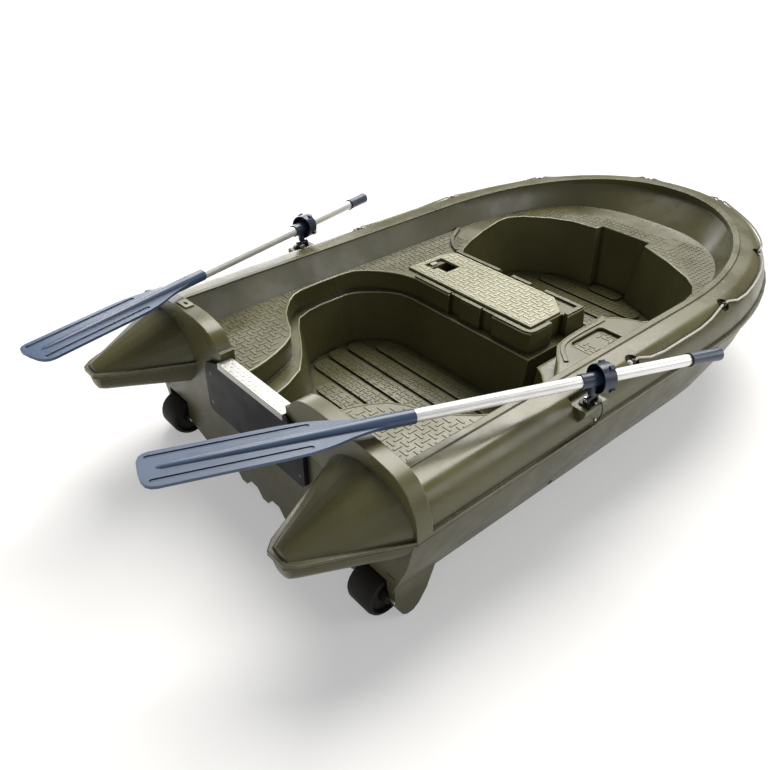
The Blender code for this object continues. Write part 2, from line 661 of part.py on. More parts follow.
def deck_moulding():
    """The upper shell: side tube, stern arches, half cones, ledge, wells, bench and planked floors."""
    deck = make("deck_moulding", [tube_block()], OLIVE)
    arches = make("arch_blocks",
                  [prism(sided(arch_outline(), sign), 0.0, ARCH_THICK, "y") for _, sign in SIDES])
    cones = make("cone_blocks", [cone(sign, 0.0, 0.003) for _, sign in SIDES])
    flanges = make("cone_flanges_upper",
                   [prism(cone_flange(sign), PARTING_Z - 0.030, SHOULDER_Z - 0.0002) for _,
                    sign in SIDES])
    below = make("below_seam", [box((-1, -0.5, 0), (1, HULL_LENGTH + 0.2, PARTING_Z + FIT))])

    hollow = make("tube_hollow", [tube_hollow()])
    arch_room = make("arch_hollows",
                     [prism(sided(arch_outline(-WALL), sign), WALL, ARCH_THICK - WALL, "y") for _,
                      sign in SIDES])
    cone_room = make("cone_hollows", [cone(sign, WALL, 0.022) for _, sign in SIDES])
    liner = make("recess_liner", [recess_block(LINING, ARCH_THICK - WALL)])
    sill = make("notch_liner",
                [box((-NOTCH_HALF - WALL, -0.1, NOTCH_Z - WALL),
                     (NOTCH_HALF + WALL, ARCH_THICK + 0.02, RECESS_TOP))])
    cups = make("pocket_linings",
                [moved(rod((0, 0, -POCKET_DEPTH - WALL), (0, 0, 0.030), POCKET_RADIUS + 0.004,
                           segments=16), frame)
                                   for _, frame in eye_frames()])
    seats = make("rowlock_seats", each_side(rowlock_seat_fill))
    combine(hollow, ("UNION", arch_room), ("UNION", cone_room), ("DIFFERENCE", liner),
            ("DIFFERENCE", sill),
            ("DIFFERENCE", cups), ("DIFFERENCE", seats))

    upper, lower, fore = aft_well(), aft_step(), forward_well()
    lining_top = LEDGE_Z + 0.004
    passage = ((BENCH_END + 0.016, BENCH_AFT - 0.088, FLOOR_FORWARD_Z + 0.003),
               (PASSAGE_OUT - 0.017, BENCH_FORWARD + 0.070, STEP_Z + 0.015))
    store_low, store_high = COMPARTMENT
    slots = [(low, BENCH_AFT - 0.008, high, BENCH_AFT + 0.015) for low, high in AFT_SLOTS]
    slots += [(low, BENCH_FORWARD - 0.018, high, BENCH_FORWARD + 0.028) for low,
              high in FORWARD_SLOTS]
    slots += [(BENCH_END - 0.027, END_SLOT[0], BENCH_END + 0.008, END_SLOT[1])]
    slot_z = STEP_Z + 0.0007
    tray = rounded_box((PASSAGE_OUT + 0.028, BENCH_AFT + 0.057),
                       (WELL_HALF - 0.001, BENCH_AFT + 0.232), 0.020)

    def widened(low, high, side, down):
        return box(Vector(low) - Vector((side, side, down)),
                   (high[0] + side, high[1] + side, lining_top))

    linings = (
        make("aft_well_lining", [prism(grown(upper, LINING), STEP_Z - WALL, lining_top)]),
        make("aft_step_lining", [drafted(lower, STEP_Z, FLOOR_AFT_Z, FLOOR_DRAFT_AFT, LINING)]),
        make("forward_well_lining",
             [drafted(fore, LEDGE_Z, FLOOR_FORWARD_Z, FLOOR_DRAFT_FORWARD, LINING)]),
        make("passage_lining", [box(Vector(passage[0]) - Vector((LINING, LINING, WALL)),
                                    Vector(passage[1]) + Vector((LINING, LINING, 0)))]),
        make("store_lining", [widened(store_low, store_high, WALL, WALL)]),
        make("slot_linings",
             [box((x0 - WALL, y0 - 0.002, slot_z - WALL), (x1 + WALL, y1 + WALL, lining_top))
                              for x0, y0, x1, y1 in slots[:2]]
             + [box((x0 - WALL, y0 - WALL, slot_z - WALL), (x1 + WALL, y1 - 0.004, lining_top))
                for x0, y0, x1, y1 in slots[2:4]]
             + [box((x0 - WALL, y0 - WALL, slot_z - WALL), (x1 - 0.004, y1 + WALL, lining_top))
                for x0, y0, x1, y1 in slots[4:]]),
        make("tray_lining", [prism(grown(tray, WALL), LEDGE_Z - 0.015, lining_top)]),
        make("transom_lining", [box((-NOTCH_HALF - 0.006, TRANSOM_INNER - LINING, LEDGE_Z - 0.012),
                                    (NOTCH_HALF + 0.006, ARCH_THICK + 0.010, NOTCH_Z - 0.0022))]),
    )
    bosses = make("rowlock_bosses", each_side(rowlock_boss))

    combine(deck, ("UNION", arches), ("UNION", cones), ("UNION", flanges), ("DIFFERENCE", below),
            ("DIFFERENCE", hollow), *[("UNION", lining) for lining in linings], ("UNION", bosses))

    cuts = (
        make("recess", [recess_block(0.0, ARCH_THICK)]),
        make("aft_well", [prism(upper, STEP_Z, RECESS_TOP - 0.1)]),
        make("aft_step", [drafted(lower, STEP_Z, FLOOR_AFT_Z, FLOOR_DRAFT_AFT)]),
        make("forward_well", [drafted(fore, LEDGE_Z, FLOOR_FORWARD_Z, FLOOR_DRAFT_FORWARD)]),
        make("passage", [box(*passage)]),
        make("store", [box(store_low, store_high)]),
        make("slots",
             [box((x0, y0, slot_z), (x1, y1, LEDGE_Z + 0.035)) for x0, y0, x1, y1 in slots]),
        make("tray", [prism(tray, LEDGE_Z - 0.010, LEDGE_Z + 0.020)]),
        make("notch",
             [prism([(-0.1, NOTCH_Z), (TRANSOM_INNER, NOTCH_Z), (TRANSOM_INNER, NOTCH_Z - 0.028),
                              (ARCH_THICK + 0.006, NOTCH_Z - 0.028), (ARCH_THICK + 0.006,
                                                                      RECESS_TOP - 0.02),
                              (-0.1, RECESS_TOP - 0.02)], -NOTCH_HALF, NOTCH_HALF, "x")]),
        make("pockets",
             [moved(rod((0, 0, -POCKET_DEPTH), (0, 0, 0.032), POCKET_RADIUS, segments=16), frame)
                         for _, frame in eye_frames()]),
        make("rowlock_notches", each_side(rowlock_notch)),
        make("rowlock_bolt_holes",
             [rod((x, y, SEAT_Z - 0.030), (x, y, SEAT_Z + 0.010), SCREW_RADIUS + FIT, segments=10)
                                    for x, y in rowlock_bolts()]),
        make("upper_screw_holes", [rod((sign * BOARD_SCREWS[0][0], -0.02, BOARD_SCREWS[0][1]),
                                       (sign * BOARD_SCREWS[0][0], 0.02,
                                        BOARD_SCREWS[0][1]), SCREW_RADIUS + FIT, segments=10)
                                   for _, sign in SIDES]),
    )
    combine(deck, *[("DIFFERENCE", cut) for cut in cuts])

    floor_aft = grown(lower, -FLOOR_DRAFT_AFT)
    floor_fore = grown(fore, -FLOOR_DRAFT_FORWARD)
    boards = planks(floor_aft, 0.400, FLOOR_AFT_Z) + planks(floor_fore, 1.648, FLOOR_FORWARD_Z)
    combine(deck, ("UNION", make("planks", boards)), ("UNION", make("rims", rims())))
    return deck


def rims():
    """Raised beads on the bench's edges, round the tray and across the port ledge."""
    low, high = LEDGE_Z - 0.0025, LEDGE_Z + RIM_RISE
    aft, front, end = BENCH_AFT + 0.0095, BENCH_FORWARD - 0.0095, BENCH_END - 0.0095
    (aft1, aft2), (aft3, aft4) = AFT_SLOTS
    (fore1, fore2), (fore3, fore4) = FORWARD_SLOTS
    paths = [
        [(BENCH_PORT - 0.010, aft), (aft1, aft)],
        [(aft2, aft), (aft3, aft)],
        [(aft4, aft), (end - 0.020, aft), (end - 0.004, aft + 0.008), (end, aft + 0.026),
         (end, END_SLOT[0])],
        [(BENCH_PORT - 0.066, front), (fore1, front)],
        [(fore2, front), (fore3, front)],
        [(fore4, front), (end, front), (end, END_SLOT[1])],
    ]
    beads = [bar(path, RIM_WIDTH, low, high) for path in paths]
    nose = smooth([(PASSAGE_OUT + 0.012, BENCH_FORWARD - 0.020),
                   (PASSAGE_OUT + 0.012, BENCH_AFT + 0.110),
                   (PASSAGE_OUT + 0.030, BENCH_AFT + 0.026), (WELL_HALF - 0.045,
                                                              BENCH_AFT - 0.035)], 3)
    beads.append(bar(nose, 0.014, low, LEDGE_Z + 0.004))
    rib = smooth([(-WELL_HALF - 0.002, BENCH_FORWARD + 0.160),
                  (-WELL_HALF + 0.044, BENCH_FORWARD + 0.077),
                  (-WELL_HALF + 0.098, BENCH_FORWARD + 0.023), (-WELL_HALF + 0.146,
                                                                BENCH_FORWARD - 0.004)], 2)
    beads.append(bar(rib, 0.014, low, LEDGE_Z + 0.010))
    return beads


def rowlock_point(sign):
    return sign * ROWLOCK_X, ROWLOCK_Y


def rowlock_seat_fill(sign):
    x, y = rowlock_point(sign)
    low, high = sorted((x - sign * (SEAT_IN + WALL), x + sign * 0.02))
    return [box((low, y - SEAT_HALF - 0.001 - WALL, SEAT_Z - 0.048),
                (high, y + SEAT_HALF + 0.001 + WALL, TOP_Z + 0.02))]


def rowlock_boss(sign):
    """The block under a rowlock, proud of the tube's side and sloped beneath."""
    x, y = rowlock_point(1)
    outer = x + SEAT_OUT
    outline = [(x - 0.020, SEAT_Z - 0.044), (outer - 0.020, SEAT_Z - 0.044),
               (outer - 0.004, SEAT_Z - 0.024), (outer, SEAT_Z - 0.015),
               (outer, SEAT_Z + 0.004), (x - 0.020, SEAT_Z + 0.004)]
    return [prism(sided(outline, sign), y - SEAT_HALF, y + SEAT_HALF, "y")]


def rowlock_notch(sign):
    x, y = rowlock_point(sign)
    low, high = sorted((x - sign * SEAT_IN, x + sign * 0.060))
    return [box((low, y - SEAT_HALF - 0.001, SEAT_Z), (high, y + SEAT_HALF + 0.001, TOP_Z + 0.060))]


def rowlock_bolts():
    return [(sign * ROWLOCK_X + offset, ROWLOCK_Y) for _,
            sign in SIDES for offset in (-BOLT_X, BOLT_X)]


def hull_levels(skin, top):
    start = skin
    rows = ((-FLANGE_OUT if not skin else WALL, -FLANGE_OUT if not skin else WALL, top, 0),
            (-FLANGE_OUT if not skin else WALL, -FLANGE_OUT if not skin else WALL,
             PARTING_Z - FLANGE_THICK, 0),
            (skin, skin, PARTING_Z - FLANGE_THICK - 0.0005, 0),
            (SIDE_INSET + skin, SIDE_BOW_INSET + skin, SIDE_Z, 0),
            (CHINE_INSET + skin, CHINE_BOW_INSET + skin, CHINE_Z + skin, CHINE_BOW_RISE))
    return [level(HALF_BEAM - side, HULL_LENGTH - bow, z, rise, start) for side, bow, z,
            rise in rows]


def bottom_profile():
    """Across half the bottom: share of the half width, share of the depth, and whether in a channel."""
    rows = [(across, depth, 0) for across, depth in BILGE]
    for keel in KEELS:
        rows.append((keel + KEEL_FLAT, 1, 0))
        if keel:
            rows += [(keel - KEEL_FLAT, 1, 0), (keel - KEEL_FLAT - CHANNEL_SLOPE, 1, 1),
                     (keel - 0.2 + KEEL_FLAT + CHANNEL_SLOPE, 1, 1)]
    return rows


def hull_block(skin, top):
    """The lower hull's outside, or its inside one skin in, with a channelled bottom."""
    def shape(form):
        rings = hull_levels(skin, top)
        loops = [[form.verts.new(point) for point in ring] for ring in rings]
        count = len(loops[0])
        for low, high in zip(loops, loops[1:]):
            for i in range(count):
                j = (i + 1) % count
                form.faces.new((low[i], low[j], high[j], high[i]))
        half_rows = bottom_profile()
        profile = half_rows + [(-across, depth, channel) for across, depth,
                               channel in reversed(half_rows)]
        chine, top_loop = loops[-1], loops[0]
        lines = []
        for i in range(count // 2):
            x, y, z = chine[i].co
            forward = max(0.0, (y - BOW_START) / (HULL_LENGTH - CHINE_BOW_INSET - skin - BOW_START))
            fade = 1 - forward ** 2
            aft = max(0.0, 1 - y / KEEL_LEVEL_Y)
            depth = (CHINE_Z * (1 - aft) + STERN_DEPTH * aft) * fade
            lines.append([chine[i]]
                         + [form.verts.new((x * across, y,
                                            z - depth * share + channel * CHANNEL_DEPTH * fade))
                                       for across, share, channel in profile] + [chine[count - 1
                                                                                       - i]])
        for first, second in zip(lines, lines[1:]):
            for i in range(len(first) - 1):
                form.faces.new((first[i], first[i + 1], second[i + 1], second[i]))
        apex = chine[count // 2]
        for i in range(len(lines[-1]) - 1):
            form.faces.new((lines[-1][i], lines[-1][i + 1], apex))
        form.faces.new(lines[0])
        for i in range(count // 2):
            rung = [top_loop[i], top_loop[i + 1], top_loop[count - 2 - i], top_loop[count - 1 - i]]
            form.faces.new(list(dict.fromkeys(rung)))
    return shape


def wheel_cheek(sign):
    """The lug outboard of a wheel that carries its axle."""
    y, z = WHEEL_Y, WHEEL_RADIUS
    outline = [(y - 0.017, z + 0.110), (y - 0.010, z + 0.030), (y - 0.002, z - 0.020),
               (y + 0.018, z - 0.054), (y + 0.034, z - 0.064),
               (y + 0.056, z - 0.064), (y + 0.076, z - 0.050), (y + 0.104, z - 0.010),
               (y + 0.140, z + 0.080), (y + 0.140, z + 0.110)]
    low, high = sorted((sign * (CHEEK_IN + 0.0004), sign * CHEEK_OUT))
    return [prism(outline, low, high, "x")]


def lower_hull():
    """The lower shell with its channelled bottom, lower half cones and wheel arches."""
    hull = make("lower_hull", [hull_block(0.0, PARTING_Z + 0.020)], OLIVE)
    room = make("hull_hollow", [hull_block(WALL, PARTING_Z + 0.040)])
    cones = make("cone_blocks_lower", [cone(sign, 0.0, 0.003) for _, sign in SIDES])
    cone_room = make("cone_hollows_lower", [cone(sign, WALL, 0.021) for _, sign in SIDES])
    flanges = make("cone_flanges_lower",
                   [prism(cone_flange(sign), PARTING_Z - FLANGE_THICK + 0.0002, PARTING_Z + 0.030)
                    for _, sign in SIDES])
    above = make("above_seam", [box((-1, -0.5, PARTING_Z - FIT), (1, HULL_LENGTH + 0.2, 0.7))])
    room_low = WHEEL_X - WHEEL_WIDTH / 2 - 0.015

    def wheel_room(sign, extra):
        return rod((sign * (room_low - extra), WHEEL_Y, WHEEL_RADIUS),
                   (sign * (CHEEK_IN + extra), WHEEL_Y, WHEEL_RADIUS),
                   WHEEL_RADIUS + WHEEL_ROOM + extra, segments=32)
    combine(room, ("DIFFERENCE",
                   make("wheel_linings", [wheel_room(sign, WALL) for _, sign in SIDES])))
    cheeks = make("wheel_cheeks", each_side(wheel_cheek))
    wheels = make("wheel_rooms", [wheel_room(sign, 0.0) for _, sign in SIDES])
    axles = make("axle_holes", [rod((sign * (CHEEK_IN - 0.004), WHEEL_Y, WHEEL_RADIUS),
                                    (sign * (CHEEK_IN + AXLE_INSERT + FIT), WHEEL_Y,
                                     WHEEL_RADIUS), AXLE_RADIUS + FIT, segments=20)
                                for _, sign in SIDES])
    x, z = BOARD_SCREWS[1]
    holes = make("lower_screw_holes",
                 [rod((sign * x, -0.02, z), (sign * x, 0.02, z), SCREW_RADIUS + FIT, segments=10)
                  for _, sign in SIDES])
    combine(hull, ("UNION", cones), ("UNION", flanges), ("DIFFERENCE", room),
            ("DIFFERENCE", cone_room), ("DIFFERENCE", above),
            ("DIFFERENCE", wheels), ("UNION", cheeks), ("DIFFERENCE", axles), ("DIFFERENCE", holes))
    return hull


def transom():
    """The motor board on the transom, its screws and the tread plate over both."""
    half = NOTCH_HALF
    top = NOTCH_Z - 0.0012
    starboard = [(half + 0.075, NOTCH_Z - 0.210), (half + 0.087, NOTCH_Z - 0.198),
                 (half + 0.087, NOTCH_Z - 0.060),
                 (half + 0.070, NOTCH_Z - 0.025), (half, top)]
    face = -FIT - BOARD_THICK
    board = make("transom_board", [prism(mirrored(starboard), face, -FIT, "y")], BLACK)
    spots = [(sign * x, z) for _, sign in SIDES for x, z in BOARD_SCREWS]
    holes = make("board_holes",
                 [rod((x, face, z), (x, 0.01, z), SCREW_RADIUS + FIT, segments=10) for x,
                  z in spots])
    over = 0.001
    spread = (SCREW_HEAD - SCREW_RADIUS) / SCREW_SINK
    sinks = make("board_sinks",
                 [rod((x, face - over, z), (x, face + SCREW_SINK, z),
                      SCREW_HEAD + 2 * FIT + over * spread,
                                     SCREW_RADIUS + FIT, 24) for x, z in spots])
    aft, fore = PLATE_THICK - BOARD_THICK, TRANSOM_INNER + FIT
    low, high = NOTCH_Z + FIT, NOTCH_Z + FIT + PLATE_THICK
    rebate = make("board_rebate",
                  [box((-half - 0.001, face - 0.01, high - PLATE_LIP - FIT),
                       (half + 0.001, aft + FIT, high))])
    combine(board, ("DIFFERENCE", holes), ("DIFFERENCE", sinks), ("DIFFERENCE", rebate))
    section = [(aft - PLATE_THICK, high - PLATE_LIP), (aft, high - PLATE_LIP), (aft, low),
               (fore, low), (fore, high - 0.0275),
               (fore + PLATE_THICK, high - 0.0275), (fore + PLATE_THICK,
                                                     high - 0.001), (fore + PLATE_THICK - 0.001,
                                                                     high),
               (aft - PLATE_THICK + 0.001, high), (aft - PLATE_THICK, high - 0.001)]
    make("transom_plate", [prism(section, -half + 0.0005, half - 0.0005, "x")], ALLOY)
    profile = [(0, -FIT), (SCREW_HEAD, -FIT), (SCREW_RADIUS, -SCREW_SINK), (SCREW_RADIUS, -0.026),
               (0, -0.028)]
    for count, (x, z) in enumerate(spots, 1):
        screw = turned(f"board_screw_{count}", profile, 12, STEEL)
        screw.location = (x, face, z)
        screw.rotation_euler = (math.pi / 2, 0, 0)


def bench_lid():
    """The lid of the store in the bench, with a finger opening over its catch."""
    port, end, aft, front = BENCH_PORT - 0.082, BENCH_END - 0.031, BENCH_AFT + 0.035, BENCH_FORWARD - 0.028
    outline = [(port, aft), (end, aft), (end, front - 0.067), (end - 0.081, front),
               (port + 0.032, front), (port + 0.007, front - 0.052)]
    low = LEDGE_Z + FIT
    lid = make("bench_lid", [prism(outline, low, low + LID_THICK)], OLIVE)
    edge = lid.modifiers.new("Edge", "BEVEL")
    edge.width = 0.0015
    edge.segments = 1
    edge.limit_method = "ANGLE"
    left, notch_right, right = port + 0.027, port + 0.080, port + 0.131
    notch, start, stop = aft + 0.057, aft + 0.077, aft + 0.149
    hole = [(left, start), (left, notch), (notch_right, notch), (notch_right, start),
            (right, start), (right, stop), (left, stop)]
    opening = make("finger_opening", [prism(hole, low - 0.01, low + 0.03)])
    combine(lid, ("DIFFERENCE", opening))
    catch = rounded_box((left + 0.003, start + 0.006), (left + 0.021, start + 0.036), 0.004)
    make("lid_catch", [prism(catch, low, low + 0.0065)], GREY)


def wheels():
    """Two wheels on stub axles, each turning about the axle."""
    half = WHEEL_WIDTH / 2
    bore = AXLE_RADIUS + FIT
    outer = CHEEK_IN - WHEEL_X - FIT
    inner = -half - 0.003
    profile = [(bore, outer), (0.020, outer), (0.024, half - 0.014),
               (WHEEL_RADIUS - 0.018, half - 0.012), (WHEEL_RADIUS - 0.012, half),
               (WHEEL_RADIUS - 0.004, half - 0.003), (WHEEL_RADIUS, half - 0.012),
               (WHEEL_RADIUS, 0.012 - half), (WHEEL_RADIUS - 0.004, 0.003 - half),
               (WHEEL_RADIUS - 0.012, -half), (WHEEL_RADIUS - 0.018, 0.012 - half),
               (0.024, 0.014 - half), (0.020, inner), (bore, inner)]
    head = inner - FIT
    shank = CHEEK_IN + AXLE_INSERT - WHEEL_X
    axle = [(0, shank), (AXLE_RADIUS - 0.001, shank), (AXLE_RADIUS, shank - 0.001),
            (AXLE_RADIUS, head), (0.014, head),
            (0.014, head - 0.006), (0.011, head - 0.009), (0, head - 0.010)]
    for side, sign in SIDES:
        for name, shape, closed, steps in ((f"wheel_{side}", profile, True, 24),
                                           (f"wheel_axle_{side}", axle, False, 16)):
            thing = turned(name, shape, steps, RUBBER if closed else STEEL, closed=closed)
            thing.location = (sign * WHEEL_X, WHEEL_Y, WHEEL_RADIUS)
            thing.rotation_euler = (0, sign * math.pi / 2, 0)


def strap_outline():
    """A strap eye across the rope: two feet on the pocket's floor and a round bow over the rope."""
    floor = -POCKET_DEPTH + FIT
    inner, outer = ROPE_RADIUS + ROPE_CLEAR, ROPE_RADIUS + ROPE_CLEAR + 0.0032
    foot = 0.018
    over = [(outer * math.cos(math.pi * i / 8), ROPE_DIP + outer * math.sin(math.pi * i / 8))
            for i in range(9)]
    under = [(inner * math.cos(math.pi * i / 8), ROPE_DIP + inner * math.sin(math.pi * i / 8))
             for i in range(9)]
    return ([(foot, floor), (foot, floor + 0.003), (outer, floor + 0.003)] + over
            + [(-outer, floor + 0.003), (-foot, floor + 0.003), (-foot, floor),
               (-inner, floor)] + under[::-1] + [(inner, floor)])


def rope_at_eye(station, offset):
    """A point of the rope near an eye, where it dips into the pocket: the offset runs along the tube."""
    reach = min(1.0, max(0.0, (abs(offset) - EYE_HOLD) / (EYE_SPREAD - EYE_HOLD)))
    ease = reach * reach * (3 - 2 * reach)
    return shoulder_frame(station, EYE_ANGLE,
                          ROPE_DIP + (ROPE_LIFT - ROPE_DIP) * ease) @ Vector((0, offset, 0))


def rope_between(station, share, last):
    """A point of the rope between two eyes, or on the way from the last one to the bow."""
    edge = min(1.0, share * 4) if last else min(1.0, min(share, 1 - share) * 5)
    degrees = EYE_ANGLE + (ROPE_ANGLE - EYE_ANGLE) * edge
    return shoulder_frame(station, degrees, ROPE_LIFT).translation.copy()


def lifeline():
    """The rope through the eyes, lying on the shoulder between them, knotted at its two ends."""
    starboard = []
    for row, station in enumerate(EYES):
        offsets = (-EYE_SPREAD, -EYE_HOLD, EYE_HOLD, EYE_SPREAD) if row else (-ROPE_END, EYE_HOLD,
                                                                              EYE_SPREAD)
        starboard += [rope_at_eye(station, offset) for offset in offsets]
        last = row + 1 == len(EYES)
        ahead = 1.0 if last else EYES[row + 1]
        shares = (0.5, 1.0) if last else [i / 7 for i in range(1, 7)]
        starboard += [rope_between(station + (ahead - station) * share, share, last)
                      for share in shares]
    route = starboard + [Vector((-p.x, p.y, p.z)) for p in reversed(starboard[:-1])]
    tube("lifeline", route, ROPE_RADIUS, ROPE, 2)
    for side, sign in SIDES:
        frame = flipped(shoulder_frame(EYES[0], EYE_ANGLE, ROPE_DIP), sign)
        along = Vector((0, 1, 0))
        local = frame.to_3x3().inverted() @ along
        reach = KNOT_HALF
        centre = frame.translation - (frame.to_3x3() @ local) * (ROPE_END + FIT + reach)

        def knot(form, middle=centre, turn=frame.to_3x3().to_4x4(), length=reach):
            spot = Matrix.Translation(middle) @ turn @ Matrix.Diagonal((0.0100, length, 0.0095, 1))
            bmesh.ops.create_uvsphere(form, u_segments=12, v_segments=8, radius=1, matrix=spot)
        make(f"lifeline_knot_{side}", [knot], ROPE)
    eye = bpy.data.meshes.new("eye")
    form = bmesh.new()
    prism(strap_outline(), -0.0055, 0.0055, "y")(form)
    bmesh.ops.recalc_face_normals(form, faces=form.faces)
    form.to_mesh(eye)
    form.free()
    for name, frame in eye_frames():
        place(f"eyelet_{name}", eye, BLACK).matrix_local = frame


def rowlock(side, sign):
    """A base with a fore-and-aft hinge, its tilting post, and the collar that turns on the post."""
    x, y = rowlock_point(sign)
    base = make(f"rowlock_base_{side}",
                [prism(rounded_box((x - BASE_HALF[0], y - BASE_HALF[1]),
                                   (x + BASE_HALF[0], y + BASE_HALF[1]), 0.008),
                                               SEAT_Z + FIT, SEAT_Z + BASE_THICK)], BLACK)
    arc = [(x + EAR_RADIUS * math.cos(math.pi * i / 8),
            HINGE_Z + EAR_RADIUS * math.sin(math.pi * i / 8)) for i in range(9)]
    ear = [(x - EAR_RADIUS - 0.002, SEAT_Z + 0.002), (x + EAR_RADIUS + 0.002, SEAT_Z + 0.002)] + arc
    ears = make(f"rowlock_ears_{side}",
                [prism(ear, y - EAR_OUT, y - EAR_IN, "y"),
                 prism(ear, y + EAR_IN, y + EAR_OUT, "y")])
    bore = make(f"hinge_bore_{side}",
                [rod((x, y - 0.04, HINGE_Z), (x, y + 0.04, HINGE_Z), HINGE_PIN_RADIUS + FIT,
                     segments=12)])
    holes = make(f"base_holes_{side}",
                 [rod((x + dx, y, SEAT_Z - 0.01), (x + dx, y, SEAT_Z + 0.02), SCREW_RADIUS + FIT,
                      segments=10)
                                        for dx in (-BOLT_X, BOLT_X)])
    combine(base, ("UNION", ears), ("DIFFERENCE", bore), ("DIFFERENCE", holes))

    tilt = bpy.data.objects.new(f"tilt_{side}", None)
    swing = bpy.data.objects.new(f"swing_{side}", None)
    feather = bpy.data.objects.new(f"feather_{side}", None)
    for empty in (tilt, swing, feather):
        PARTS.objects.link(empty)
    tilt.parent, swing.parent, feather.parent = FRAME, tilt, swing
    tilt.location = (x, y, HINGE_Z)
    swing.location = (0, 0, COLLAR_Z - HINGE_Z)
    swing.rotation_euler.z = -math.radians(OAR_BEARING[side])
    feather.rotation_euler.x = math.radians(OAR_PITCH[side])

    reach = EAR_IN - FIT
    post = make(f"rowlock_post_{side}",
                [rod((0, -reach, 0), (0, reach, 0), EAR_RADIUS - 0.0005, segments=16)], BLACK, tilt)
    stub = make(f"post_stub_{side}",
                [rod((0, 0, 0.002), (0, 0, POST_TOP - HINGE_Z), POST_RADIUS,
                     segments=16)], None, tilt)
    post_bore = make(f"post_bore_{side}",
                     [rod((0, -0.03, 0), (0, 0.03, 0), HINGE_PIN_RADIUS + FIT,
                          segments=12)], None, tilt)
    combine(post, ("UNION", stub), ("DIFFERENCE", post_bore))

    end = EAR_OUT + FIT + 0.003
    half = [(0, end), (0.0045, end - 0.0005), (0.0055, end - 0.003 + FIT),
            (HINGE_PIN_RADIUS, end - 0.003 + FIT)]
    profile = half + [(radius, -height) for radius, height in reversed(half)]
    pin = turned(f"rowlock_pin_{side}", profile, 12, STEEL)
    pin.location = (x, y, HINGE_Z)
    pin.rotation_euler = (math.pi / 2, 0, 0)
    for row, dx in enumerate((-BOLT_X, BOLT_X)):
        top = SEAT_Z + BASE_THICK + FIT
        bolt = turned(f"rowlock_bolt_{side}{row + 1}",
                      [(0, 0.0035), (0.0042, 0.0035), (0.0050, 0.0025), (0.0050, 0),
                       (SCREW_RADIUS, 0),
                                                       (SCREW_RADIUS, -0.026), (0,
                                                                                -0.0275)], 10, STEEL)
        bolt.location = (x + dx, y, top)

    pitch = math.radians(OAR_PITCH[side])
    line = Vector((0, math.cos(pitch), math.sin(pitch)))
    start, stop = COLLAR_REACH
    collar = make(f"oar_collar_{side}",
                  [rod(line * start, line * (stop - 0.001), COLLAR_RADIUS,
                       segments=24)], NAVY, swing)
    drum = make(f"collar_drum_{side}",
                [rod(line * DRUM_START, line * stop, DRUM_RADIUS, segments=28)], None, swing)
    mouth = make(f"drum_mouth_{side}",
                 [rod(line * (DRUM_START - 0.01), line * (stop - DRUM_WEB),
                      DRUM_RADIUS - DRUM_WALL, segments=28)], None, swing)
    combine(drum, ("DIFFERENCE", mouth))
    tilted = Matrix.Rotation(pitch, 4, "X")
    lug = box((-0.006, stop - 0.016, DRUM_RADIUS - 0.002),
              (0.006, stop - 0.001, DRUM_RADIUS + 0.005))
    turns = [Matrix.Rotation(math.radians(turn), 4, "Y") for turn in LUG_TURNS]
    lugs = make(f"collar_lugs_{side}", [moved(lug, tilted @ turn) for turn in turns], None, swing)
    boss = make(f"collar_boss_{side}",
                [rod((0, 0, COLLAR_BOSS_Z - COLLAR_Z), (0, 0, -0.012), COLLAR_BOSS_RADIUS,
                     segments=16)], None, swing)
    socket = make(f"collar_socket_{side}",
                  [rod((0, 0, -0.06), (0, 0, POST_TOP - COLLAR_Z + 0.001), POST_RADIUS + FIT,
                       segments=16)], None, swing)
    shaft_bore = make(f"collar_bore_{side}",
                      [rod(line * -0.1, line * 0.1, SHAFT_RADIUS + FIT, segments=24)], None, swing)
    combine(collar, ("UNION", drum), ("UNION", lugs), ("UNION", boss), ("DIFFERENCE", socket),
            ("DIFFERENCE", shaft_bore))
    oar(side, feather)


def blade_outline():
    """The blade in plan, from its neck to its round tip."""
    tip = -OAR_OUTBOARD
    neck = tip + BLADE_LENGTH
    half = smooth([(0.016, neck - 0.055), (0.0215, neck - 0.095), (0.0285, neck - 0.135),
                   (0.036, neck - 0.175), (0.050, neck - 0.225),
                   (BLADE_HALF - 0.002, neck - 0.290), (BLADE_HALF, neck - 0.380)], 2)
    half += [(BLADE_HALF, tip + 0.034), (BLADE_HALF - 0.003, tip + 0.020),
             (BLADE_HALF - 0.012, tip + 0.009), (BLADE_HALF - 0.030, tip + 0.002)]
    return [(-x, y) for x, y in half] + [(0.0, tip)] + half[::-1]


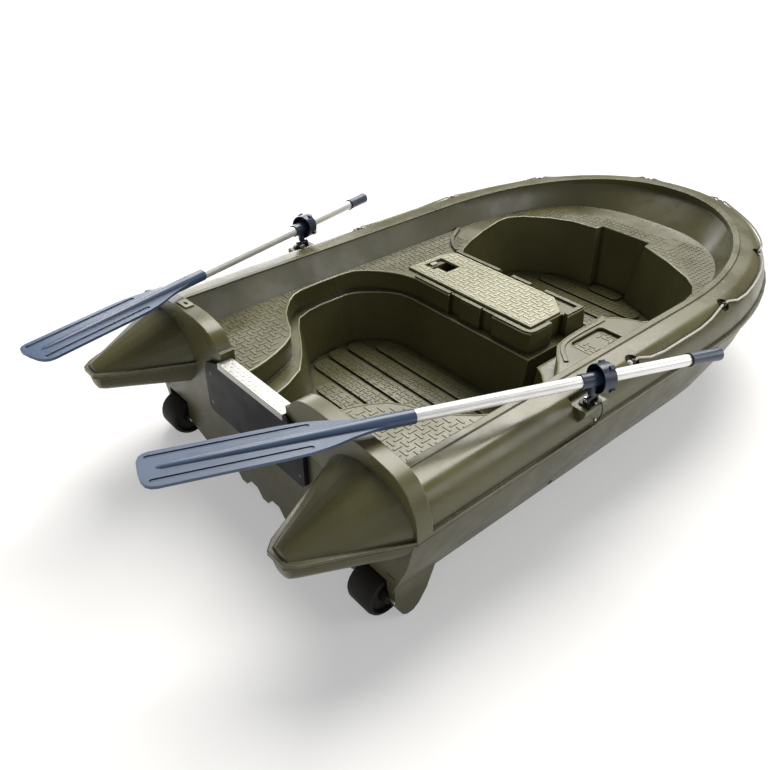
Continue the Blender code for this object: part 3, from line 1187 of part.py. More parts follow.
def oar(side, feather):
    """Shaft, blade and grip, which turn together in the collar."""
    tip = -OAR_OUTBOARD
    neck = tip + BLADE_LENGTH
    blade = make(f"oar_blade_{side}", [prism(blade_outline(), -BLADE_THICK / 2, BLADE_THICK / 2)],
                 BLADE_BLUE, feather)
    stations = ((neck, NECK_RADIUS), (neck - NECK_INSERT - 0.010, NECK_RADIUS),
                (neck - 0.260, 0.0165), (neck - 0.460, 0.0125),
                (tip + 0.052, 0.0090), (tip + 0.040, 0.0050))
    spine = make(f"blade_spine_{side}",
                 [loft([[(radius * math.cos(math.tau * i / 16), y,
                          radius * math.sin(math.tau * i / 16)) for i in range(16)]
                                               for y, radius in stations])], None, feather)
    width, depth = BLADE_CHANNEL
    channels = []
    for sign in (-1, 1):
        slot = stadium((sign * 0.0420, tip + 0.026),
                       (sign * 0.0420, tip + (0.400 if sign < 0 else 0.385)), width, 4)
        channels.append(prism(slot, BLADE_THICK / 2 - depth, BLADE_THICK))
        channels.append(prism(slot, -BLADE_THICK, depth - BLADE_THICK / 2))
    cuts = make(f"blade_channels_{side}", channels, None, feather)
    bore = make(f"blade_bore_{side}",
                [rod((0, neck + 0.01, 0), (0, neck - NECK_INSERT, 0), SHAFT_RADIUS + FIT,
                     segments=24)], None, feather)
    combine(blade, ("UNION", spine), ("DIFFERENCE", cuts), ("DIFFERENCE", bore))

    ring = OAR_INBOARD - GRIP_LENGTH
    low, high = neck - NECK_INSERT + FIT, OAR_INBOARD - 0.006
    shaft = turned(f"oar_shaft_{side}",
                   [(SHAFT_RADIUS, high), (SHAFT_RADIUS, low), (SHAFT_RADIUS - SHAFT_WALL, low),
                    (SHAFT_RADIUS - SHAFT_WALL, high)],
                   24, ALLOY, feather, closed=True)
    bore_radius = SHAFT_RADIUS + FIT
    profile = [(0, OAR_INBOARD), (GRIP_RADIUS - 0.004, OAR_INBOARD),
               (GRIP_RADIUS + 0.001, OAR_INBOARD - 0.004),
               (GRIP_RADIUS + 0.0015, OAR_INBOARD - 0.012), (GRIP_RADIUS, OAR_INBOARD - 0.030),
               (GRIP_RADIUS, ring + 0.006 + FIT), (bore_radius, ring + 0.006 + FIT),
               (bore_radius, high + FIT), (0, high + FIT)]
    grip = turned(f"oar_grip_{side}", profile, 24, NAVY, feather)
    band = turned(f"grip_ring_{side}",
                  [(bore_radius, ring + 0.006), (GRIP_RADIUS + 0.0012, ring + 0.006),
                   (GRIP_RADIUS + 0.0012, ring), (bore_radius, ring)],
                  24, RUBBER, feather, closed=True)
    for thing in (shaft, grip, band):
        thing.rotation_euler.x = -math.pi / 2


def small_fittings():
    """The tethers and their rivets, the port quarter's plate and knob, and the hull's plug."""
    rivet_dome = 0.0030
    for side, sign in SIDES:
        x, y = rowlock_point(1)
        spot = shoulder_frame(y + 0.032 - BOW_START, 4, FIT)
        end = spot @ Vector((0, 0, rivet_dome + TETHER_RADIUS + FIT))
        outer = x + SEAT_OUT + TETHER_RADIUS + 0.003
        route = smooth([(x + BASE_HALF[0] + TETHER_RADIUS + FIT, y + 0.018, SEAT_Z + 0.0028),
                        (outer, y + 0.021, SEAT_Z - 0.006),
                        (outer + 0.001, y + 0.025, SEAT_Z - 0.028), (outer - 0.006, y + 0.029,
                                                                     SEAT_Z - 0.056), tuple(end)], 4)
        tube(f"rowlock_tether_{side}", [(sign * a, b, c) for a, b, c in route], TETHER_RADIUS,
             RUBBER, 1)
        rivet = turned(f"tether_rivet_{side}",
                       [(0, rivet_dome), (0.0030, 0.0026), (0.0050, 0.0008), (0.0050, 0),
                        (0, 0)], 12, STEEL)
        rivet.matrix_local = flipped(spot, sign)
    span_x = HALF_BEAM + FLANGE_OUT - NOTCH_HALF
    (start_share, start_rise), (end_share, end_rise) = ARCH[4], ARCH[5]
    slope = math.atan2(start_rise - end_rise, (end_share - start_share) * span_x)
    middle = Vector((-NOTCH_HALF - (start_share + end_share) / 2 * span_x, ARCH_THICK / 2 + 0.004,
                     PARTING_Z + 0.010 + (start_rise + end_rise) / 2 + 0.0007))
    plate = make("quarter_plate",
                 [prism(rounded_box((-0.030, -0.015), (0.030, 0.015), 0.004), 0.0, 0.004)], GREY)
    slot = make("quarter_slot", [prism(stadium((-0.004, 0), (0.010, 0), 0.009, 4), -0.01, 0.02)])
    combine(plate, ("DIFFERENCE", slot))
    for thing in (plate, slot):
        thing.location = middle
        thing.rotation_euler.y = -slope
    knob = turned("quarter_knob",
                  [(0, 0.016), (0.009, 0.015), (0.0125, 0.011), (0.0125, 0.005), (0.006, 0.002),
                   (0.006, 0), (0, 0)], 18, BLACK)
    knob.location = (0.090 - HALF_BEAM, -FIT, TOP_Z + 0.043)
    knob.rotation_euler = (math.pi / 2, 0, 0)
    plug = turned("hull_plug",
                  [(0, 0.0030), (0.0070, 0.0026), (0.0085, 0.0010), (0.0085, 0), (0, 0)], 18, BLACK)
    slope = math.atan2(CHINE_INSET - SIDE_INSET, SIDE_Z - CHINE_Z)
    share = 0.2
    centre = Vector((HALF_BEAM - CHINE_INSET + (CHINE_INSET - SIDE_INSET) * share, 0.63,
                     CHINE_Z + (SIDE_Z - CHINE_Z) * share))
    plug.location = centre + Vector((math.cos(slope), 0, -math.sin(slope))) * FIT
    plug.rotation_euler = (0, math.pi / 2 + slope, 0)


clear_scene()
PARTS = new_collection("plastic_rowing_boat")
CUTTERS = new_collection("cutters")
CUTTERS.hide_render = True
FRAME = bpy.data.objects.new("boat_frame", None)
PARTS.objects.link(FRAME)
FRAME.location = (0, -ORIGIN_Y, 0)

deck_moulding()
lower_hull()
transom()
bench_lid()
wheels()
lifeline()
for each_name, each_sign in SIDES:
    rowlock(each_name, each_sign)
small_fittings()
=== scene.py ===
"""Looks of a moulded rowing boat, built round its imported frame: finishes, treads, rope, studio."""

import json
import logging
import math
from collections.abc import Callable, Sequence
from dataclasses import dataclass, field
from enum import Enum

import bmesh
import bpy
from mathutils import Euler, Matrix, Vector
from mathutils.bvhtree import BVHTree


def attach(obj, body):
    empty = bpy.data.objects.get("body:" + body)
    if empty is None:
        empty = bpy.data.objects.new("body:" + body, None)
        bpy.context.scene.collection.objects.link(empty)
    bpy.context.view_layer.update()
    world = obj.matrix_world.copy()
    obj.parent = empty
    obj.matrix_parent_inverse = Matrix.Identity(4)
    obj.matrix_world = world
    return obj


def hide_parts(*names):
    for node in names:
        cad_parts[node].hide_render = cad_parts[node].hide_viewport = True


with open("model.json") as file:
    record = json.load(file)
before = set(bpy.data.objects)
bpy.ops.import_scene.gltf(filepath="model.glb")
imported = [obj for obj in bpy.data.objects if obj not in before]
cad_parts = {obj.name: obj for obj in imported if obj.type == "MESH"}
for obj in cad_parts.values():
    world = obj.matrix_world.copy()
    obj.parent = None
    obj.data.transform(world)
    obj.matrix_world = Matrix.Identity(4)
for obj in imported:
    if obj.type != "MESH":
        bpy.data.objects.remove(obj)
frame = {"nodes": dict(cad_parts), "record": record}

Colour = tuple[float, float, float]
Place = tuple[float, float, float]
Point = tuple[float, float]

LOG = logging.getLogger("boat")
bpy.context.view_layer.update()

# Stations are measured forward from the transom, which stands here in the row frame.
STERN_Y = -1.03
# Edges that bend more than this stay sharp.
MOST_SMOOTH = math.radians(32)
# Corners of the CAD triangles nearer than this are one point.
SAME_POINT = 0.00001
# Rays that soft edges and crevices are felt with.
TRACE_SAMPLES = 6
# Numbers of the colour sockets of a Mix node.
MIX_SHARE, MIX_UNDER, MIX_TOP, MIX_RESULT = 0, 6, 7, 2


class Side(Enum):
    """Which side of the boat a piece is on."""

    STARBOARD = "s"
    PORT = "p"


class Wire:
    """One output socket of a shader, with operators that add its Math nodes."""

    def __init__(self, shader: "Shader", socket: bpy.types.NodeSocket) -> None:
        """Keeps the shader and the socket."""
        self.shader = shader
        self.socket = socket

    def maths(self, operation: str, *values: "Wire | float") -> "Wire":
        """Adds a Math node.

        Args:
            operation: the node's operation.
            values: its inputs in order.

        Returns:
            The node's value.
        """
        return self.shader.node("Math", dict(enumerate(values)), operation=operation)

    def __add__(self, other: "Wire | float") -> "Wire":
        """The sum."""
        return self.maths("ADD", self, other)

    __radd__ = __add__

    def __mul__(self, other: "Wire | float") -> "Wire":
        """The product."""
        return self.maths("MULTIPLY", self, other)

    __rmul__ = __mul__

    def __rsub__(self, other: "Wire | float") -> "Wire":
        """The difference, with this value taken away."""
        return self.maths("SUBTRACT", other, self)

    def clamped(self) -> "Wire":
        """The value held between 0 and 1."""
        return self.maths("MINIMUM", self.maths("MAXIMUM", self, 0.0), 1.0)

    def ramp(self, low: float, high: float, start: float = 0.0, end: float = 1.0) -> "Wire":
        """Maps low..high to start..end with a smooth step.

        Args:
            low: the value that gives start.
            high: the value that gives end.
            start: the result at low and under.
            end: the result at high and over.

        Returns:
            The mapped value.
        """
        inputs = {"Value": self, "From Min": low, "From Max": high, "To Min": start, "To Max": end}
        return self.shader.node("MapRange", inputs, interpolation_type="SMOOTHSTEP")


class Shader:
    """A material under construction."""

    edge_range: Point = (0.01, 0.25)
    crevice_range: Point = (0.08, 0.42)

    def __init__(self, name: str) -> None:
        """Makes an empty material with one Principled surface.

        Args:
            name: the material's name.
        """
        self.material = bpy.data.materials.new(name)
        self.material.use_nodes = True
        self.tree = self.material.node_tree
        self.surface = self.tree.nodes["Principled BSDF"]
        self.place = Wire(self, self.tree.nodes.new("ShaderNodeTexCoord").outputs["Object"])

    def node(self, kind: str, inputs: dict, output: int | str = 0, **settings: object) -> Wire:
        """Adds a node.

        Args:
            kind: its type without the ShaderNode prefix.
            inputs: values or wires by socket name or number.
            output: the output wanted.
            settings: the node's own settings.

        Returns:
            The output.
        """
        made = self.tree.nodes.new("ShaderNode" + kind)
        for name, value in settings.items():
            setattr(made, name, value)
        for name, value in inputs.items():
            if isinstance(value, Wire):
                self.tree.links.new(value.socket, made.inputs[name])
            else:
                made.inputs[name].default_value = value
        return Wire(self, made.outputs[output])

    def noise(self, scale: float, detail: float = 2.0, stretch: Sequence[float] = (1, 1, 1),
              turn: Sequence[float] = (0, 0, 0), roughness: float = 0.5) -> Wire:
        """Noise on Object coordinates, from 0 to 1.

        Args:
            scale: cells in a metre.
            detail: octaves.
            stretch: the scale along each axis.
            turn: the pattern's turn in radians.
            roughness: the share of each finer octave.

        Returns:
            The noise.
        """
        place = self.node("Mapping", {"Vector": self.place, "Scale": stretch, "Rotation": turn})
        return self.node("TexNoise", {"Vector": place, "Scale": scale, "Detail": detail,
                                      "Roughness": roughness})

    def over(self, share: Wire, under: "Wire | Colour", top: Colour) -> Wire:
        """A colour laid over another.

        Args:
            share: how much of the top colour shows, from 0 to 1.
            under: the colour beneath, from a wire or the same all over.
            top: the colour laid over it.

        Returns:
            The mixed colour.
        """
        below = under if isinstance(under, Wire) else (*under, 1.0)
        inputs = {MIX_SHARE: share, MIX_UNDER: below, MIX_TOP: (*top, 1.0)}
        return self.node("Mix", inputs, output=MIX_RESULT, data_type="RGBA")

    def soft_edges(self, radius: float) -> Wire:
        """The surface's normal as if its edges were rounded."""
        return self.node("Bevel", {"Radius": radius}, samples=TRACE_SAMPLES)

    def edge_share(self, rounded: Wire) -> Wire:
        """How near an edge a point is.

        Args:
            rounded: the normal with soft edges.

        Returns:
            From 0 on a flat to 1 on an edge.
        """
        flat = Wire(self, self.tree.nodes.new("ShaderNodeNewGeometry").outputs["Normal"])
        dot = self.node("VectorMath", {0: rounded, 1: flat}, output="Value",
                        operation="DOT_PRODUCT")
        return (1.0 - dot).ramp(*self.edge_range)

    def crevice(self, reach: float) -> Wire:
        """How deep in a groove or a corner a point is.

        Args:
            reach: how far it is felt in metres.

        Returns:
            From 0 in the open to 1 in a crevice.
        """
        light = self.node("AmbientOcclusion", {"Distance": reach}, output="AO",
                          samples=TRACE_SAMPLES)
        return (1.0 - light).ramp(*self.crevice_range)

    def bump(self, height: Wire, distance: float, strength: float,
             under: Wire | None = None) -> Wire:
        """A normal raised by a height map.

        Args:
            height: the map.
            distance: what a height of 1 stands for in metres.
            strength: the share of it that is felt.
            under: the normal that it is raised from, the surface's own if there is none.

        Returns:
            The raised normal.
        """
        inputs = {"Height": height, "Distance": distance, "Strength": strength}
        if under is not None:
            inputs["Normal"] = under
        return self.node("Bump", inputs)

    def finish(self, links: dict[str, Wire], values: dict) -> bpy.types.Material:
        """Feeds the surface.

        Args:
            links: wires by the surface's socket name.
            values: constants by the surface's socket name.

        Returns:
            The material.
        """
        for name, wire in links.items():
            self.tree.links.new(wire.socket, self.surface.inputs[name])
        for name, value in values.items():
            self.surface.inputs[name].default_value = value
        return self.material


@dataclass(frozen=True)
class MouldedPlastic:
    """Moulded plastic with a fine grain and faint mottling, edges painted paler as scuff wear and
    painted highlight, and painted shade darkening crevices.

    A pattern's size is in cells a metre, and its range is where its effect starts and is full.
    """

    name: str
    colour: Colour
    shade: Colour
    scuff_and_highlight: Colour
    roughness: float = 0.40
    grain: float = 900.0
    grain_depth: float = 0.00012
    waviness: float = 0.0
    edge_radius: float = 0.002
    # How much edges are painted paler: partly scuff wear, partly painted highlight.
    edge_scuff_and_highlight: float = 0.35
    speck: float = 0.0
    # Painted shade: how much ambient occlusion darkens crevices and corners, how far it reaches, and
    # how dark that shade is.
    crevice_painted_shade: float = 0.75
    painted_shade_reach: float = 0.010
    painted_shade_tone: float = 0.22
    specular: float = 0.5
    ior: float = 1.5
    mottle: float = 4.0
    mottle_range: Point = (0.30, 0.70)
    streak: float = 26.0
    streak_stretch: Place = (1.0, 0.25, 1.0)
    streak_turn: Place = (0.0, 0.0, 0.35)
    streak_range: Point = (0.35, 0.60)
    dust: float = 420.0
    dust_range: Point = (0.68, 0.80)
    polish: float = 9.0
    polish_range: Point = (0.25, 0.75)
    glossier: float = 0.07
    duller: float = 0.09
    worn_dullness: float = 0.2
    wave: float = 7.0
    relief: float = 0.6

    def material(self) -> bpy.types.Material:
        """Builds the finish.

        Returns:
            The material.
        """
        s = Shader(self.name)
        rounded = s.soft_edges(self.edge_radius)
        mottle = s.noise(self.mottle, detail=3.0).ramp(*self.mottle_range)
        colour = s.over(mottle, self.colour, self.shade)
        streaks = s.noise(self.streak, detail=4.0, stretch=self.streak_stretch,
                          turn=self.streak_turn, roughness=0.6)
        # Edges painted paler, partly scuff wear and partly painted highlight along the rims.
        scuffed_and_lit_edges = s.edge_share(rounded) * streaks.ramp(*self.streak_range) * self.edge_scuff_and_highlight
        colour = s.over(scuffed_and_lit_edges.clamped(), colour, self.scuff_and_highlight)
        if self.speck:
            dust = s.noise(self.dust, detail=1.0).ramp(*self.dust_range) * self.speck
            colour = s.over(dust, colour, self.scuff_and_highlight)
        # Painted shade: the colour darkens where ambient occlusion finds a groove or a corner.
        dark: Colour = tuple(self.painted_shade_tone * c for c in self.shade)
        colour = s.over(s.crevice(self.painted_shade_reach) * self.crevice_painted_shade, colour, dark)
        rough = s.noise(self.polish, detail=4.0, roughness=0.6).ramp(
            *self.polish_range, self.roughness - self.glossier, self.roughness + self.duller)
        height = s.noise(self.grain) + s.noise(self.wave, detail=1.0) * self.waviness
        links = {"Base Color": colour, "Roughness": rough + scuffed_and_lit_edges * self.worn_dullness,
                 "Normal": s.bump(height, self.grain_depth, self.relief, rounded)}
        return s.finish(links, {"IOR": self.ior, "Specular IOR Level": self.specular})


@dataclass(frozen=True)
class DrawnMetal:
    """Metal with fine lines along one direction and small scratches.

    A pattern's size is in cells a metre, and its range is where its effect starts and is full.
    """

    name: str
    colour: Colour
    shade: Colour
    roughness: float
    turn: Place = (0.0, 0.0, 0.0)
    along: int = 1
    lines: float = 1400.0
    line_stretch: float = 0.006
    line_range: Point = (0.3, 0.7)
    depth: float = 0.00003
    metallic: float = 1.0
    edge_radius: float = 0.0006
    cloud: float = 12.0
    cloud_range: Point = (0.3, 0.7)
    scratch: float = 160.0
    scratch_stretch: Place = (1.0, 0.05, 1.0)
    scratch_range: Point = (0.62, 0.70)
    scratch_height: float = -0.6
    scratch_dullness: float = 0.15
    glossier: float = 0.06
    duller: float = 0.08
    relief: float = 0.5

    def material(self) -> bpy.types.Material:
        """Builds the finish.

        Returns:
            The material.
        """
        s = Shader(self.name)
        rounded = s.soft_edges(self.edge_radius)
        stretch = [1.0, 1.0, 1.0]
        stretch[self.along] = self.line_stretch
        lines = s.noise(self.lines, stretch=stretch, turn=self.turn)
        cloud = s.noise(self.cloud, detail=3.0, turn=self.turn)
        colour = s.over(cloud.ramp(*self.cloud_range), self.colour, self.shade)
        scratch = s.noise(self.scratch, detail=3.0, stretch=self.scratch_stretch,
                          turn=self.turn, roughness=0.7).ramp(*self.scratch_range)
        rough = lines.ramp(*self.line_range, self.roughness - self.glossier,
                           self.roughness + self.duller)
        height = lines + scratch * self.scratch_height
        links = {"Base Color": colour, "Roughness": rough + scratch * self.scratch_dullness,
                 "Normal": s.bump(height, self.depth, self.relief, rounded)}
        return s.finish(links, {"Metallic": self.metallic})


@dataclass(frozen=True)
class TwistedFibre:
    """Pale rope yarn: fine fibres, a little soiled."""

    name: str
    colour: Colour
    soil: Colour
    soiling: float = 60.0
    soil_range: Point = (0.45, 0.75)
    soil_share: float = 0.7
    fibres: float = 2600.0
    fibre_stretch: Place = (1.0, 0.3, 1.0)
    fibre_depth: float = 0.0002
    relief: float = 0.7
    roughness: float = 0.82
    sheen: float = 0.15

    def material(self) -> bpy.types.Material:
        """Builds the finish.

        Returns:
            The material.
        """
        s = Shader(self.name)
        soil = s.noise(self.soiling, detail=4.0, roughness=0.65).ramp(*self.soil_range)
        fibres = s.noise(self.fibres, stretch=self.fibre_stretch)
        links = {"Base Color": s.over(soil * self.soil_share, self.colour, self.soil),
                 "Normal": s.bump(fibres, self.fibre_depth, self.relief)}
        return s.finish(links, {"Roughness": self.roughness, "Sheen Weight": self.sheen})


Finish = MouldedPlastic | DrawnMetal | TwistedFibre

# The olive's paler edges are partly scuff wear and partly painted highlight, and its crevices carry
# painted shade.
OLIVE = MouldedPlastic(
    "olive_hull", (0.088, 0.082, 0.032), (0.068, 0.063, 0.024), (0.42, 0.41, 0.26),
    roughness=0.29, grain=700.0, waviness=0.4, edge_radius=0.004, edge_scuff_and_highlight=0.60,
    crevice_painted_shade=0.85, painted_shade_reach=0.020, specular=0.42)
# Painted shade: the lower hull is a darker, duller copy of the olive.
OLIVE_SHADED_LOW = MouldedPlastic(
    "olive_lower_painted_shade", (0.072, 0.066, 0.027), (0.052, 0.047, 0.019), (0.36, 0.35, 0.22),
    roughness=0.33, grain=700.0, waviness=0.4, edge_radius=0.004, edge_scuff_and_highlight=0.50,
    crevice_painted_shade=0.85, painted_shade_reach=0.020, specular=0.28)
# Painted highlight: the rim beads are a much paler olive, so the rims read as bright lines.
OLIVE_EDGE_HIGHLIGHT = MouldedPlastic(
    "olive_edge_highlight", (0.240, 0.230, 0.130), (0.170, 0.162, 0.088), (0.46, 0.45, 0.31),
    roughness=0.26, grain=700.0, grain_depth=0.00008, edge_radius=0.0010, edge_scuff_and_highlight=0.30,
    crevice_painted_shade=0.30)
# Painted highlight: the bench lid is a paler olive, as if its top caught the sky.
OLIVE_LID_HIGHLIGHT = MouldedPlastic(
    "olive_lid_highlight", (0.250, 0.240, 0.140), (0.200, 0.192, 0.110), (0.55, 0.54, 0.42),
    roughness=0.34, grain=700.0, grain_depth=0.00010, waviness=0.2, edge_radius=0.0015,
    edge_scuff_and_highlight=0.60)
OLIVE_TREAD = MouldedPlastic(
    "olive_tread", (0.112, 0.106, 0.044), (0.082, 0.078, 0.031), (0.38, 0.37, 0.23),
    roughness=0.35, grain_depth=0.00008, edge_radius=0.0008, edge_scuff_and_highlight=0.80)
# Painted highlight: the lid's bars are paler still, standing for the sun's reflection.
LID_TREAD_HIGHLIGHT = MouldedPlastic(
    "pale_tread_highlight", (0.450, 0.440, 0.320), (0.370, 0.360, 0.255), (0.72, 0.71, 0.60),
    roughness=0.30, grain_depth=0.00008, edge_radius=0.0008, edge_scuff_and_highlight=0.80)
FLOOR_TREAD = MouldedPlastic(
    "floor_tread", (0.110, 0.104, 0.046), (0.070, 0.065, 0.028), (0.34, 0.33, 0.20),
    roughness=0.36, grain_depth=0.00008, edge_radius=0.0006, edge_scuff_and_highlight=0.80, specular=0.35)
BLACK = MouldedPlastic(
    "black_moulded", (0.009, 0.010, 0.012), (0.014, 0.015, 0.017), (0.08, 0.08, 0.08),
    roughness=0.40, grain=1100.0, grain_depth=0.00010, edge_radius=0.0008, specular=0.40)
BOARD = MouldedPlastic(
    "black_board", (0.010, 0.011, 0.012), (0.015, 0.016, 0.017), (0.12, 0.12, 0.12),
    roughness=0.50, grain=1300.0, grain_depth=0.00014, edge_radius=0.0012, edge_scuff_and_highlight=0.40,
    speck=0.10, specular=0.15)
RUBBER = MouldedPlastic(
    "dark_rubber", (0.013, 0.012, 0.009), (0.009, 0.008, 0.006), (0.07, 0.06, 0.05),
    roughness=0.62, grain=800.0, grain_depth=0.00018, edge_radius=0.0012, edge_scuff_and_highlight=0.30,
    speck=0.12, specular=0.20)
# The blade's grooves carry deep painted shade, and its paler edges are partly wear and partly
# painted highlight.
BLADE = MouldedPlastic(
    "slate_blade", (0.050, 0.083, 0.152), (0.039, 0.066, 0.123), (0.27, 0.34, 0.46),
    roughness=0.31, grain=1000.0, grain_depth=0.00006, waviness=0.2, edge_radius=0.0015,
    edge_scuff_and_highlight=0.65, crevice_painted_shade=1.0, painted_shade_reach=0.034, specular=0.42)
NAVY = MouldedPlastic(
    "navy_fitting", (0.020, 0.031, 0.058), (0.014, 0.022, 0.041), (0.14, 0.18, 0.25),
    roughness=0.30, grain=1100.0, grain_depth=0.00006, edge_radius=0.0010, edge_scuff_and_highlight=0.45)
GRIP = MouldedPlastic(
    "slate_grip", (0.055, 0.076, 0.115), (0.040, 0.056, 0.086), (0.22, 0.27, 0.35),
    roughness=0.34, grain=1100.0, grain_depth=0.00008, edge_radius=0.0012, edge_scuff_and_highlight=0.50)
GREY = MouldedPlastic(
    "grey_fitting", (0.30, 0.30, 0.24), (0.24, 0.24, 0.19), (0.55, 0.55, 0.50),
    roughness=0.40, grain=1100.0, grain_depth=0.00008, edge_radius=0.0005, edge_scuff_and_highlight=0.30)
PLATE = DrawnMetal("tread_plate", (0.44, 0.44, 0.42), (0.36, 0.36, 0.34), roughness=0.38,
                   along=0, lines=900.0, metallic=0.75)
DARK_STEEL = DrawnMetal("dark_steel", (0.10, 0.10, 0.10), (0.06, 0.06, 0.06), roughness=0.36)
STEEL = DrawnMetal("bright_steel", (0.62, 0.62, 0.60), (0.50, 0.50, 0.49), roughness=0.28)
CORD = TwistedFibre("laid_cord", (0.56, 0.54, 0.46), (0.30, 0.28, 0.22))


def tube_finish(side: Side, bearing: float) -> DrawnMetal:
    """The oar tube's satin aluminium, its lines along the tube.

    Args:
        side: the oar's side.
        bearing: the tube's bearing from the bow in degrees.

    Returns:
        The finish.
    """
    return DrawnMetal(f"satin_tube_{side.value}", (0.84, 0.84, 0.82), (0.76, 0.76, 0.74),
                      roughness=0.33, turn=(0.0, 0.0, math.radians(bearing)), depth=0.00002,
                      metallic=0.50)


class Finishes:
    """The materials, each built once."""

    def __init__(self) -> None:
        """Starts with none."""
        self.made: dict[str, bpy.types.Material] = {}

    def get(self, finish: Finish) -> bpy.types.Material:
        """The material of a finish, built when it is first asked for.

        Args:
            finish: what is wanted.

        Returns:
            The material.
        """
        if finish.name not in self.made:
            self.made[finish.name] = finish.material()
        return self.made[finish.name]


FINISHES = Finishes()


def dress(obj: bpy.types.Object, finish: Finish) -> None:
    """Gives a piece one finish."""
    obj.data.materials.clear()
    obj.data.materials.append(FINISHES.get(finish))


def soften(node: bpy.types.Object) -> None:
    """Shades a CAD node smooth between its sharp edges.

    Args:
        node: the CAD node, whose mesh stays as it is.
    """
    node.data.shade_smooth()
    weld = node.modifiers.new("Weld", "WELD")
    weld.merge_threshold = SAME_POINT
    split = node.modifiers.new("Edges", "EDGE_SPLIT")
    split.split_angle = MOST_SMOOTH


def add_object(name: str, data: bpy.types.ID) -> bpy.types.Object:
    """Puts a mesh, a lamp or a camera in the scene.

    Args:
        name: the object's name.
        data: what it shows.

    Returns:
        The object.
    """
    thing = bpy.data.objects.new(name, data)
    bpy.context.scene.collection.objects.link(thing)
    return thing


def add_piece(name: str, form: bmesh.types.BMesh, body: str, finish: Finish,
              smooth: bool = True) -> bpy.types.Object:
    """Turns a finished bmesh into a piece that rides on a body.

    Args:
        name: the piece's name.
        form: the shape in the row frame; it is freed.
        body: the CAD body it moves with.
        finish: what it is made of.
        smooth: whether its faces are shaded smooth.

    Returns:
        The piece.
    """
    bmesh.ops.recalc_face_normals(form, faces=form.faces)
    mesh = bpy.data.meshes.new(name)
    form.to_mesh(mesh)
    form.free()
    if smooth:
        mesh.shade_smooth()
        mesh.set_sharp_from_angle(angle=MOST_SMOOTH)
    piece = add_object(name, mesh)
    dress(piece, finish)
    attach(piece, body)
    LOG.info("%s: %d faces on %s", name, len(mesh.polygons), body)
    return piece


def surface_of(name: str) -> BVHTree:
    """A search tree over a CAD node at rest.

    Args:
        name: the node.

    Returns:
        The tree.
    """
    mesh = frame["nodes"][name].data
    return BVHTree.FromPolygons([v.co.copy() for v in mesh.vertices],
                                [list(p.vertices) for p in mesh.polygons])


def stamp(form: bmesh.types.BMesh, template: bpy.types.Mesh, place: Matrix) -> None:
    """Adds a copy of a template mesh, put in its place.

    Args:
        form: where the copy goes.
        template: the mesh to copy.
        place: where the copy stands and how it is turned.
    """
    start = len(form.verts)
    form.from_mesh(template)
    form.verts.ensure_lookup_table()
    bmesh.ops.transform(form, matrix=place, verts=form.verts[start:])


def sweep(form: bmesh.types.BMesh, path: Sequence[Vector], frames: Sequence[Matrix],
          radius: float, sides: int) -> None:
    """Sweeps a circle along frames whose Z follows the path, with both ends closed.

    Args:
        form: where the tube goes.
        path: centre points.
        frames: turned frames at those points.
        radius: the tube's radius.
        sides: faces round it.
    """
    previous = Matrix.Translation(path[0]) @ frames[0]
    ring = bmesh.ops.create_circle(form, cap_ends=True, segments=sides, radius=radius,
                                   matrix=previous)["verts"]
    edges = list(dict.fromkeys(e for v in ring for e in v.link_edges))
    for point, turn in zip(path[1:], frames[1:]):
        grown = bmesh.ops.extrude_edge_only(form, edges=edges)["geom"]
        verts = [g for g in grown if isinstance(g, bmesh.types.BMVert)]
        edges = [g for g in grown if isinstance(g, bmesh.types.BMEdge)]
        here = Matrix.Translation(point) @ turn
        bmesh.ops.transform(form, matrix=here @ previous.inverted(), verts=verts)
        previous = here
    bmesh.ops.contextual_create(form, geom=edges)


